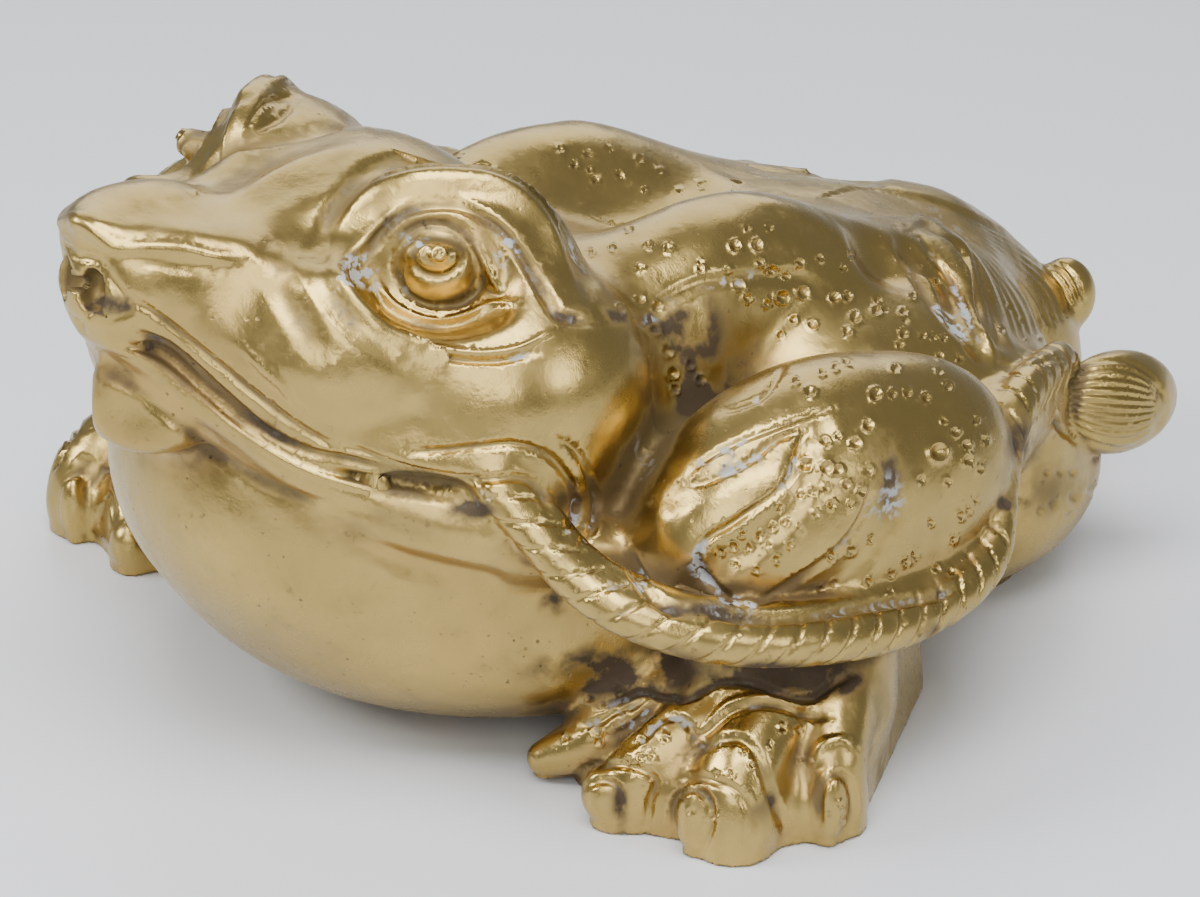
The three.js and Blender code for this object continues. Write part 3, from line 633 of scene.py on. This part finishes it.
# Tail: its strands, and those of the tassels
strands = dict(
    tail=12,
    tailTop=[(812, 196), (860, 184), (905, 190), (950, 203), (1000, 226), (1045, 248), (1076, 268),
             (1092, 300)],
    tailFoot=[(870, 215), (905, 215), (940, 222), (965, 240), (985, 268), (998, 300), (1006, 330),
              (1010, 350)],
    tassel=11,
    tasselMiddle=[(1062, 398), (1090, 402), (1125, 405), (1152, 406), (1166, 407)],
    tasselSpread=[24, 40, 44, 30, 10],  # from its middle to its edge
)
for i in range(1, strands["tail"] + 1):
    t = i / (strands["tail"] + 1)
    pairs = zip(strands["tailTop"], strands["tailFoot"])
    line = [(a + (c - a) * t, b + (d - b) * t) for (a, b), (c, d) in pairs]
    etched([60, 330, 190], 150, strand=(1.6, 3.2, line))
for i in range(strands["tassel"]):
    t = i / (strands["tassel"] - 1) * 2 - 1
    pairs = zip(strands["tasselMiddle"], strands["tasselSpread"])
    line = [(x, y + spread * t) for (x, y), spread in pairs]
    etched([222, 332, 148], 80, strand=(1.8, 3, line))
etched([215, 290, 170], 80,
    tasselNeck=(4, 5, [(1062, 362), (1052, 380), (1048, 400), (1058, 425), (1075, 440)]))
etched([215, 270, 180], 90,
    knotTop=(3, 5, [(1000, 362), (1020, 372), (1040, 362), (1062, 356)]),
    knotUnder=(3, 5, [(1012, 400), (1026, 385), (1046, 376)]))
rumpWarts = [(1047, 473, 6), (1060, 473, 6), (1072, 473, 6), (1003, 486, 7), (1005, 502, 8), (1020, 502, 6),
    (1027, 503), (1040, 512, 7), (1053, 505, 7), (1074, 498, 8), (1092, 490, 7), (1070, 516, 5), (885, 310),
    (905, 320), (1010, 306), (1022, 320), (1026, 340), (1003, 330), (1040, 338)]
warts(rumpWarts, [220, 200, 150], 150, 1.8, 0.3)

# Foot: the cuff, the folds over the toes and the nails
footMiddle = [330, -190, 60]
etched(footMiddle, 130,
    cuff=(4, 5, [(598, 708), (622, 700), (642, 691), (660, 697), (682, 698), (702, 690), (718, 684),
        (740, 683), (762, 687), (778, 694), (795, 699), (812, 698), (824, 690), (836, 682), (852, 676)]),
    toeFold=(3, 5, [(694, 740), (708, 731), (722, 718), (738, 709), (760, 704), (782, 707), (806, 716),
        (830, 716)]),
    toeRidge=(-2.5, 5, [(700, 735), (716, 716), (730, 703), (756, 697), (786, 700), (812, 708)]),
    innerToeFold=(3, 5, [(622, 748), (642, 739), (656, 722), (670, 716), (685, 722), (693, 733),
        (696, 744)]),
    innerCuff=(2.5, 5, [(574, 728), (598, 722), (614, 712), (632, 706), (648, 694)]),
    innerCuffFold=(2.5, 5, [(600, 738), (625, 730), (645, 714), (656, 704)]),
    innerNail=(3.5, 5, [(576, 776), (590, 766), (612, 764), (640, 770), (656, 782), (650, 800),
        (646, 830)]),
    innerNailFold=(3, 5, [(578, 792), (594, 782), (612, 783), (621, 796), (622, 828)]),
    middleNail=(4, 5, [(672, 830), (671, 810), (678, 795), (690, 789), (702, 793), (710, 808), (709, 830),
        (703, 846)]),
    middleKnuckle=(2.5, 6, [(680, 782), (700, 778), (722, 784), (742, 797), (752, 815), (750, 840)]),
    outerToeFold=(4, 6, [(690, 760), (706, 745), (735, 738), (752, 748), (762, 765), (770, 790), (780, 815),
        (788, 832)]),
    outerKnuckle=(-3, 6, [(812, 760), (822, 745), (842, 740), (860, 750)]),
    outerNail=(3.5, 5, [(820, 830), (818, 800), (824, 782), (838, 774), (850, 784), (854, 808),
        (848, 834)]))
footWarts = [(590, 698, 5), (602, 702), (618, 690, 5), (596, 732, 6), (598, 742, 5), (566, 738),
    (640, 740, 5), (665, 738), (628, 760), (640, 758), (652, 754), (700, 745), (718, 746), (745, 750),
    (752, 765), (716, 774), (730, 775), (692, 790, 3), (783, 728), (798, 730), (770, 745, 3), (840, 805),
    (842, 822), (690, 812), (712, 818, 5), (800, 760, 3), (590, 768)]
warts(footWarts, footMiddle, 150)


# The turns of the cord, cut slantwise round it
twist = dict(
    strands=3,
    slant=0.7,  # how far apart they are across, for how far along the cord
    width=3,
    depth=1.6,
    finest=3.5,
    reach=45,  # how far from the cord's points the carving is looked for
)


def turns(p):
    line = smooth([j[:3] for j in cordJoints], 5)
    run = np.concatenate([[0], np.cumsum(np.linalg.norm(np.diff(line, axis=0), axis=1))])
    sink, fine = np.zeros(len(p)), np.full(len(p), unasked)
    i = np.flatnonzero(np.min([((p - q) ** 2).sum(1) for q in line[::4]], axis=0) < twist["reach"] ** 2)
    q = p[i]
    least, where, angle = np.full(len(q), 1e9), np.zeros(len(q)), np.zeros(len(q))
    for n in range(len(line) - 1):
        a, e = line[n], line[n + 1] - line[n]
        long = np.linalg.norm(e)
        e = e / long
        t = np.clip((q - a) @ e, 0, long)
        off = q - a - t[:, None] * e
        d = np.sqrt((off * off).sum(1))
        side = np.cross(e, [0, 0, 1])
        side /= np.linalg.norm(side) + 1e-9
        c = d < least
        least[c], where[c] = d[c], run[n] + t[c]
        angle[c] = np.arctan2(off[c] @ np.cross(side, e), off[c] @ side)
    phase = where / toad["cordTurn"] - angle / math.pi * (twist["strands"] / 2)
    off = np.abs(phase - np.round(phase)) * toad["cordTurn"] * twist["slant"]
    near = np.clip((cordRadius + 3 - least) / 4, 0, 1)
    across = np.minimum(off / twist["width"], 1)
    sink[i] = near * np.where(off < twist["width"], twist["depth"] * (1 - across ** 2) ** 2, 0)
    fine[i] = np.where((near > 0) & (off < twist["width"] + 1), twist["finest"], unasked)
    return sink, fine


print(len(steps), "masses and cuts,", len(lines), "carved lines")


# Every place on a grid, as rows of three
def placesOf(*axes):
    return np.stack(np.meshgrid(*axes, indexing="ij"), -1).reshape(-1, 3)


# The form worked out on a grid, and by blocks of it where the surface is far
def gridded():
    cell, side = toad["cell"], 4
    low = np.array([*toad["gridLow"], -cell * 1.5])
    count = np.ceil((np.array(toad["gridHigh"]) - low) / cell / side).astype(int) * side + 1
    value = np.full(count, farOff)
    half = cell * side / 2
    blocks = placesOf(*[np.arange(0, n - 1, side) for n in count])
    middle = casting(low + blocks * cell + half, 100)
    inside = placesOf(*[np.arange(side)] * 3)
    near = np.abs(middle) < half * 3.6
    for (i, j, k), f in zip(blocks[~near], middle[~near]):
        value[i:i + side, j:j + side, k:k + side] = f
    ids = (blocks[near][:, None] + inside[None]).reshape(-1, 3)
    value[tuple(ids.T)] = casting(low + ids * cell, 60)
    return low, cell, value


# The shell: a point in each cube of the grid that the surface passes, and a face across each edge
def netted(low, cell, value):
    inside = value < 0
    n = np.array(value.shape) - 1
    total = np.zeros(n, int)
    offsets = [(i, j, k) for i in (0, 1) for j in (0, 1) for k in (0, 1)]
    for i, j, k in offsets:
        total += inside[i:n[0] + i, j:n[1] + j, k:n[2] + k]
    cubes = np.argwhere((total > 0) & (total < 8))
    number = np.full(n, -1)
    number[tuple(cubes.T)] = np.arange(len(cubes))
    sums, hits = np.zeros((len(cubes), 3)), np.zeros(len(cubes))
    for a in offsets:
        for axis in range(3):
            if a[axis]:
                continue
            b = np.array(a)
            b[axis] = 1
            fa, fb = value[tuple((cubes + a).T)], value[tuple((cubes + b).T)]
            cut = (fa < 0) != (fb < 0)
            t = np.where(cut, fa / np.where(cut, fa - fb, 1), 0)
            place = np.array(a) + t[:, None] * (b - np.array(a))
            sums += place * cut[:, None]
            hits += cut
    points = low + (cubes + sums / hits[:, None]) * cell
    faces = []
    unit = np.eye(3, dtype=int)
    for axis in range(3):
        eu, ev = unit[(axis + 1) % 3], unit[(axis + 2) % 3]
        here = [slice(1, n[i]) for i in range(3)]
        here[axis] = slice(0, n[axis])
        there = list(here)
        there[axis] = slice(1, n[axis] + 1)
        a, b = inside[tuple(here)], inside[tuple(there)]
        for flip, cut in ((False, a & ~b), (True, ~a & b)):
            at = np.argwhere(cut) + 1 - unit[axis]
            around = [number[tuple(q.T)] for q in (at - eu - ev, at - ev, at, at - eu)]
            faces.append(np.stack(around[::-1] if flip else around, 1))
    return points, np.concatenate(faces)


# The form at points, and which way and how fast it grows
def slope(p, reach=0.4):
    f = casting(p)
    g = np.stack([casting(p + reach * axis) - f for axis in np.eye(3)], 1) / reach
    return f, g


# Points moved onto the surface, by no more than 4 at a time
def ontoSurface(p, times):
    for _ in range(times):
        f, g = slope(p)
        size = (g * g).sum(1)
        move = -f[:, None] * g / np.maximum(size, 0.25)[:, None]
        length = np.sqrt((move * move).sum(1))[:, None]
        p = p + move * np.minimum(1, 4 / np.maximum(length, 1e-9))
    return p


# The edges of the faces, and which three each face has
def edgesOf(faces):
    pairs = np.concatenate([faces[:, [0, 1]], faces[:, [1, 2]], faces[:, [2, 0]]])
    pairs.sort(axis=1)
    key = pairs[:, 0].astype(np.int64) * (faces.max() + 1) + pairs[:, 1]
    _, first, back = np.unique(key, return_index=True, return_inverse=True)
    return pairs[first], back.reshape(3, -1).T


# Every edge that stands off the surface, or is too long for the carving there, is cut in two
def halved(points, faces):
    edges, of = edgesOf(faces)
    ends = points[edges]
    length = np.linalg.norm(ends[:, 0] - ends[:, 1], axis=1)
    middle = ends.mean(1)
    out = normalsOf(points, faces)
    here, _ = relief(points, out)
    deep, fine = relief(middle, out[edges].mean(1))
    farther = np.where(middle[:, 0] < 0, toad["farSide"], 1)
    bend = np.abs(deep - here[edges].mean(1)) / toad["bend"] / farther
    over = np.maximum(length / fine, np.where(length > toad["finest"], bend, 0))
    long = np.flatnonzero((length > toad["coarse"]) & (over <= 1))
    over[long] = np.maximum(over[long], np.abs(casting(middle[long])) / toad["slack"])
    marked = over > 1
    room = max((toad["mostFaces"] - len(faces)) // 3, 1)
    if marked.sum() > room:
        marked &= over >= np.sort(over[marked])[-room]
    # where any edge of a face is cut, its longest one is too
    longest = np.argmax(length[of] + np.array([0, 1e-6, 2e-6]), axis=1)
    longestEdge = of[np.arange(len(faces)), longest]
    while True:
        missing = marked[of].any(1) & ~marked[longestEdge]
        if not missing.any():
            break
        marked[longestEdge[missing]] = True
    number = np.full(len(edges), -1)
    number[marked] = len(points) + np.arange(marked.sum())
    points = np.concatenate([points, ontoSurface(middle[marked], 2)])
    # each face as two, three or four, by which of its edges are cut
    roll = (longest[:, None] + np.arange(3)) % 3
    rows = np.arange(len(faces))[:, None]
    v, e = faces[rows, roll], number[of[rows, roll]]
    a, b, c, m0, m1, m2 = v[:, 0], v[:, 1], v[:, 2], e[:, 0], e[:, 1], e[:, 2]
    made = [faces[m0 < 0]]
    for has1 in (False, True):
        for has2 in (False, True):
            i = (m0 >= 0) & ((m1 >= 0) == has1) & ((m2 >= 0) == has2)
            parts = [(a, m0, m2), (m2, m0, c)] if has2 else [(a, m0, c)]
            parts += [(m0, b, m1), (m0, m1, c)] if has1 else [(m0, b, c)]
            made += [np.stack([corner[i] for corner in part], 1) for part in parts]
    return points, np.concatenate(made)


# The way out at each point
def normalsOf(points, faces):
    n = np.cross(points[faces[:, 1]] - points[faces[:, 0]], points[faces[:, 2]] - points[faces[:, 0]])
    out = np.zeros_like(points)
    for i in range(3):
        for axis in range(3):
            out[:, axis] += np.bincount(faces[:, i], n[:, axis], len(points))
    return out / (np.linalg.norm(out, axis=1)[:, None] + 1e-12)


# Points slid along the surface towards the middle of their neighbours
def relaxed(points, faces):
    edges, _ = edgesOf(faces)
    a, b = edges.T
    count = np.bincount(a, minlength=len(points)) + np.bincount(b, minlength=len(points))
    sums = np.stack([np.bincount(a, points[b, i], len(points)) + np.bincount(b, points[a, i], len(points))
                     for i in range(3)], 1)
    slide = sums / count[:, None] - points
    n = normalsOf(points, faces)
    slide -= (slide * n).sum(1)[:, None] * n
    return ontoSurface(points + 0.5 * slide, 1)


def drawShell():
    points, quads = netted(*gridded())
    points = ontoSurface(points, 2)
    faces = np.concatenate([quads[:, [0, 1, 2]], quads[:, [0, 2, 3]]])
    points = relaxed(points, faces)
    print("shell drawn,", len(faces), "faces")
    for _ in range(toad["halvings"]):
        points, faces = halved(points, faces)
        print("halved,", len(faces), "faces")
    points = relaxed(points, faces)
    return points, faces


points, faces = drawShell()
out = normalsOf(points, faces)
sink, _ = relief(points, out)

# The carving's own slope goes into the normals, so that it stays crisp where faces are large
aside = np.cross(out, [0.31, 0.22, 0.92])
aside /= np.linalg.norm(aside, axis=1)[:, None]
along = np.cross(out, aside)
nudge = 0.5
leanAside = (relief(points + aside * nudge, out)[0] - sink) / nudge
leanAlong = (relief(points + along * nudge, out)[0] - sink) / nudge
normals = out + leanAside[:, None] * aside + leanAlong[:, None] * along
normals /= np.linalg.norm(normals, axis=1)[:, None]

# How sunk each point lies among what is round it, near and far. The brass paints shade and a warm
# reflection into the hollows by it, and puts tarnish and polish there
near, far = toad["hollowNear"], toad["hollowFar"]
openNear = casting(points + out * near, 24) / near
openFar = casting(points + out * far, 60) / far
recess = np.clip(1 - openNear, 0, 1) * 0.5 + np.clip(1 - openFar, 0, 1)
crest = np.clip(openNear - 1, 0, 1) + np.clip(-sink / 2, 0, 1)
crease = np.clip(sink / 3.5, 0, 1)

# Where polish is left, and where dark crust and painted shade are, in the picture: across, down,
# half width, half height and how much
dirtAndShade = dict(
    polish=[(352, 272, 22, 14, 1.9), (378, 290, 16, 12, 1), (402, 240, 16, 8, 1), (500, 268, 12, 26, 1.1),
        (860, 480, 130, 110, 0.34), (800, 290, 150, 60, 0.3), (485, 300, 20, 9, 0.5),
        (510, 354, 24, 6, 0.7), (600, 322, 40, 10, 0.4), (886, 495, 26, 30, 1.1), (900, 422, 40, 10, 0.5),
        (640, 247, 60, 12, 0.5), (745, 246, 30, 10, 0.6), (470, 500, 40, 12, 0.5), (700, 560, 14, 20, 1),
        (745, 600, 30, 8, 1.2), (740, 395, 40, 18, 0.5), (740, 460, 60, 24, 0.7), (612, 586, 40, 30, 0.4),
        (640, 725, 50, 16, 0.8), (725, 720, 24, 16, 1), (960, 320, 22, 42, 0.6), (575, 165, 50, 22, 0.6),
        (680, 320, 30, 26, 0.5), (1030, 392, 20, 14, 0.5), (572, 524, 10, 14, 1), (590, 530, 8, 14, 1),
        (608, 582, 26, 12, 0.9), (644, 450, 10, 30, 0.7), (640, 575, 12, 30, 0.8)],
    crustAndShade=[(112, 306, 24, 10, 0.8), (590, 318, 44, 10, 0.9), (690, 330, 36, 44, 0.8),
        (700, 385, 30, 24, 0.7), (620, 670, 80, 22, 1), (760, 674, 60, 12, 0.8), (830, 680, 26, 14, 1),
        (886, 470, 18, 40, 0.7), (700, 608, 80, 10, 0.5), (474, 510, 26, 9, 0.7), (552, 602, 14, 14, 0.7),
        (370, 520, 120, 36, 0.25), (760, 790, 20, 40, 0.5), (620, 800, 10, 36, 0.6),
        (1010, 503, 20, 8, 0.9), (1045, 490, 60, 44, 0.36), (1100, 420, 40, 24, 0.3),
        (1020, 440, 20, 30, 0.6), (940, 640, 20, 60, 0.5), (880, 740, 16, 80, 0.4),
        (270, 440, 80, 40, 0.2)],
)
picture, _ = seen(points)


def spots(places):
    paint = np.zeros(len(points))
    for x, y, wide, high, much in places:
        r = ((picture[:, 0] - x) / wide) ** 2 + ((picture[:, 1] - y) / high) ** 2
        paint = np.maximum(paint, much * np.exp(-r * 0.8))
    return paint


mesh = bpy.data.meshes.new("toad")
places = (points - out * sink[:, None]) * share + np.array(toad["underMiddle"])
places[:, 2] = np.maximum(places[:, 2], 0)
mesh.from_pydata(places, [], faces)
mesh.polygons.foreach_set("use_smooth", np.ones(len(faces), bool))
mesh.update()
mesh.normals_split_custom_set_from_vertices(normals)
for name, values in (("recess", recess), ("crest", crest), ("crease", crease),
                     ("polish", spots(dirtAndShade["polish"])), ("crustAndShade", spots(dirtAndShade["crustAndShade"]))):
    mesh.attributes.new(name, "FLOAT", "POINT").data.foreach_set("value", values.astype(np.float32))
casting3d = bpy.data.objects.new("toad", mesh)
bpy.context.scene.collection.objects.link(casting3d)
print("toad made,", len(faces), "faces")


# A shader socket that can be reckoned with
class Wire:
    def __init__(self, tree, socket=None):
        self.tree, self.socket = tree, socket

    # a value or another wire, put into a socket
    def plug(self, slot, value):
        if isinstance(value, Wire):
            self.tree.links.new(value.socket, slot)
        else:
            slot.default_value = value

    # a node: its type and settings, then what goes into its sockets
    def node(self, kind, settings, inputs, out=0):
        made = self.tree.nodes.new(kind)
        for name, value in settings.items():
            setattr(made, name, value)
        for name, value in inputs.items():
            self.plug(made.inputs[name], value)
        return Wire(self.tree, made.outputs[out])

    def maths(self, operation, *values, clamp=False):
        settings = {"operation": operation, "use_clamp": clamp}
        return self.node("ShaderNodeMath", settings, dict(enumerate(values)))

    def __add__(self, other):
        return self.maths("ADD", self, other)

    def __radd__(self, other):
        return self.maths("ADD", other, self)

    def __sub__(self, other):
        return self.maths("SUBTRACT", self, other)

    def __rsub__(self, other):
        return self.maths("SUBTRACT", other, self)

    def __mul__(self, other):
        return self.maths("MULTIPLY", self, other)

    def __rmul__(self, other):
        return self.maths("MULTIPLY", other, self)

    def clipped(self):
        return self.maths("ADD", self, 0, clamp=True)

    # 0 below low, 1 above high, and smooth between
    def between(self, low, high):
        return self.node("ShaderNodeMapRange", {"interpolation_type": "SMOOTHSTEP"},
                         {"Value": self, "From Min": low, "From Max": high})

    # this colour, turned to another by an amount from 0 to 1
    def towards(self, other, amount):
        return self.node("ShaderNodeMix", {"data_type": "RGBA"}, {0: amount, 6: self, 7: other}, 2)


# Brass: hand polished, golden olive, with dark crust and pale polish left in the recesses, and
# painted shade and a painted warm reflection in the hollows
finish = dict(
    gold=(0.48, 0.34, 0.11, 1),
    olive=(0.32, 0.235, 0.08, 1),
    warmReflection=(0.48, 0.25, 0.085, 1),
    crustAndShade=(0.035, 0.022, 0.016, 1),
    polish=(0.43, 0.47, 0.51, 1),
    roughness=0.15,
    cloud=(16, 4),  # scale and detail of each noise
    mottle=(95, 6),
    fleck=(420, 5),
    grain=(1400, 3),
    waves=(38, 2),
    pits=330,  # scale
    scratches=(30, 260, 120),  # how the scratches are drawn out
    bump=0.35,
    bumpHeight=0.0006,
)


def brassOf():
    material = bpy.data.materials.new("brass")
    material.use_nodes = True
    tree = material.node_tree
    shader = tree.nodes["Principled BSDF"]
    start = Wire(tree)
    where = start.node("ShaderNodeTexCoord", {}, {}, "Object")

    def read(name):
        return start.node("ShaderNodeAttribute", {"attribute_name": name}, {}, "Fac")

    def noise(scale, detail, place=where):
        inputs = {"Vector": place, "Scale": scale, "Detail": detail}
        return start.node("ShaderNodeTexNoise", {}, inputs, "Fac")

    recess, crest, crease, polish, crustAndShade = map(read, ("recess", "crest", "crease", "polish", "crustAndShade"))
    noises = ("cloud", "mottle", "fleck", "grain", "waves")
    cloud, mottle, fleck, grain, waves = (noise(*finish[name]) for name in noises)
    pit = start.node("ShaderNodeTexVoronoi", {}, {"Vector": where, "Scale": finish["pits"]}, "Distance")
    pits = (1 - pit.between(0.06, 0.2)) * cloud.between(0.47, 0.62) * fleck.between(0.45, 0.6)

    # dark in the hollows and carved lines, as painted shade and the residue in them, at the spots of crust
    # and painted shade, in the pits and in scattered flecks
    deep = (recess * 1.25 + crease * 0.9 + (mottle - 0.5) * 1.2 - 0.35).between(0.25, 1.0)
    dark = (deep * 0.75 + (crustAndShade * 1.7 + crease * 0.4 + recess * 0.6) * crustAndShade.between(0.05, 0.5)
            * mottle.between(0.36, 0.6) + pits * 0.6
            + fleck.between(0.58, 0.72) * mottle.between(0.5, 0.7) * 0.5
            + mottle.between(0.55, 0.75) * 0.1).clipped()
    # pale in the carved lines where polish is left, and nowhere on the crests
    pale = ((polish + 0.14) * (polish * 0.45 + crease * 1.3 + recess * 0.3) * fleck.between(0.4, 0.6)
            * mottle.between(0.38, 0.6)).between(0.1, 0.6)
    pale = pale * (1 - crest).clipped()

    tarnish = (cloud * 1.6 - 0.5 + recess * 0.5 + (mottle - 0.5) * 0.9).clipped()
    colour = start.node("ShaderNodeRGB", {}, {})
    colour.socket.default_value = finish["gold"]
    colour = colour.towards(finish["olive"], tarnish * 0.65)
    # warmer towards copper in the hollows: a painted reflection
    colour = colour.towards(finish["warmReflection"], (recess * 1.5 * cloud.between(0.4, 0.6)).clipped() * 0.25)
    # near black where crust, residue and painted shade are
    colour = colour.towards(finish["crustAndShade"], dark * 0.92)
    colour = colour.towards(finish["polish"], pale * 0.7)
    start.plug(shader.inputs["Base Color"], colour)
    rough = (finish["roughness"] + mottle * 0.2 + fleck * 0.06 + recess * 0.1 + dark * 0.35 + pale * 0.5
             - crest * 0.04)
    start.plug(shader.inputs["Roughness"], rough.clipped())
    start.plug(shader.inputs["Metallic"], (1 - dark * 0.6 - pale * 0.85).clipped())

    hair = start.node("ShaderNodeMapping", {}, {"Vector": where, "Scale": finish["scratches"]})
    scratches = noise(9, 2, hair)
    height = (waves * 6 + mottle * 1.5 + fleck * 0.3 + grain * 0.05 + scratches * 0.12 - pits * 0.9
              + pale * 0.3 * fleck + dark * grain * 0.25)
    bump = {"Strength": finish["bump"], "Distance": finish["bumpHeight"], "Height": height}
    start.plug(shader.inputs["Normal"], start.node("ShaderNodeBump", {}, bump))
    return material


mesh.materials.append(brassOf())
print("brass made")

# Floor and light
studio = dict(
    floorSize=6,
    floorColour=(0.66, 0.68, 0.71, 1),
    floorRoughness=0.4,
    skyColour=(0.75, 0.78, 0.82, 1),
    skyStrength=0.4,
    lookAt=(0, 0, 0.05),  # what the lamps are turned to
    lamps=dict(  # place, size and watts
        left=((-0.5, -1.0, 0.9), 0.6, 14),
        overhead=((0.4, -0.3, 1.3), 0.9, 24),
        right=((1.3, 0.3, 0.6), 0.5, 4),
        behind=((-1.1, 0.9, 1.0), 1.3, 10),
        front=((1.0, -1.0, 0.8), 0.9, 10),
    ),
)
bpy.ops.mesh.primitive_plane_add(size=studio["floorSize"], location=(0, 0, 0))
floor = bpy.context.object
floor.name = "floor"
paleFloor = bpy.data.materials.new("pale floor")
paleFloor.use_nodes = True
floorShader = paleFloor.node_tree.nodes["Principled BSDF"]
floorShader.inputs["Base Color"].default_value = studio["floorColour"]
floorShader.inputs["Roughness"].default_value = studio["floorRoughness"]
floor.data.materials.append(paleFloor)


def softbox(name, place, size, power):
    data = bpy.data.lights.new(name, "AREA")
    data.size, data.energy = size, power
    box = bpy.data.objects.new(name, data)
    box.location = place
    box.rotation_euler = (Vector(studio["lookAt"]) - Vector(place)).to_track_quat("-Z", "Y").to_euler()
    bpy.context.scene.collection.objects.link(box)


for name, (place, size, power) in studio["lamps"].items():
    softbox(name, place, size, power)
world = bpy.data.worlds.new("room")
bpy.context.scene.world = world
world.use_nodes = True
background = world.node_tree.nodes["Background"]
background.inputs["Color"].default_value = studio["skyColour"]
background.inputs["Strength"].default_value = studio["skyStrength"]
print("studio lit")

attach(casting3d, "root")
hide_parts("money_toad")
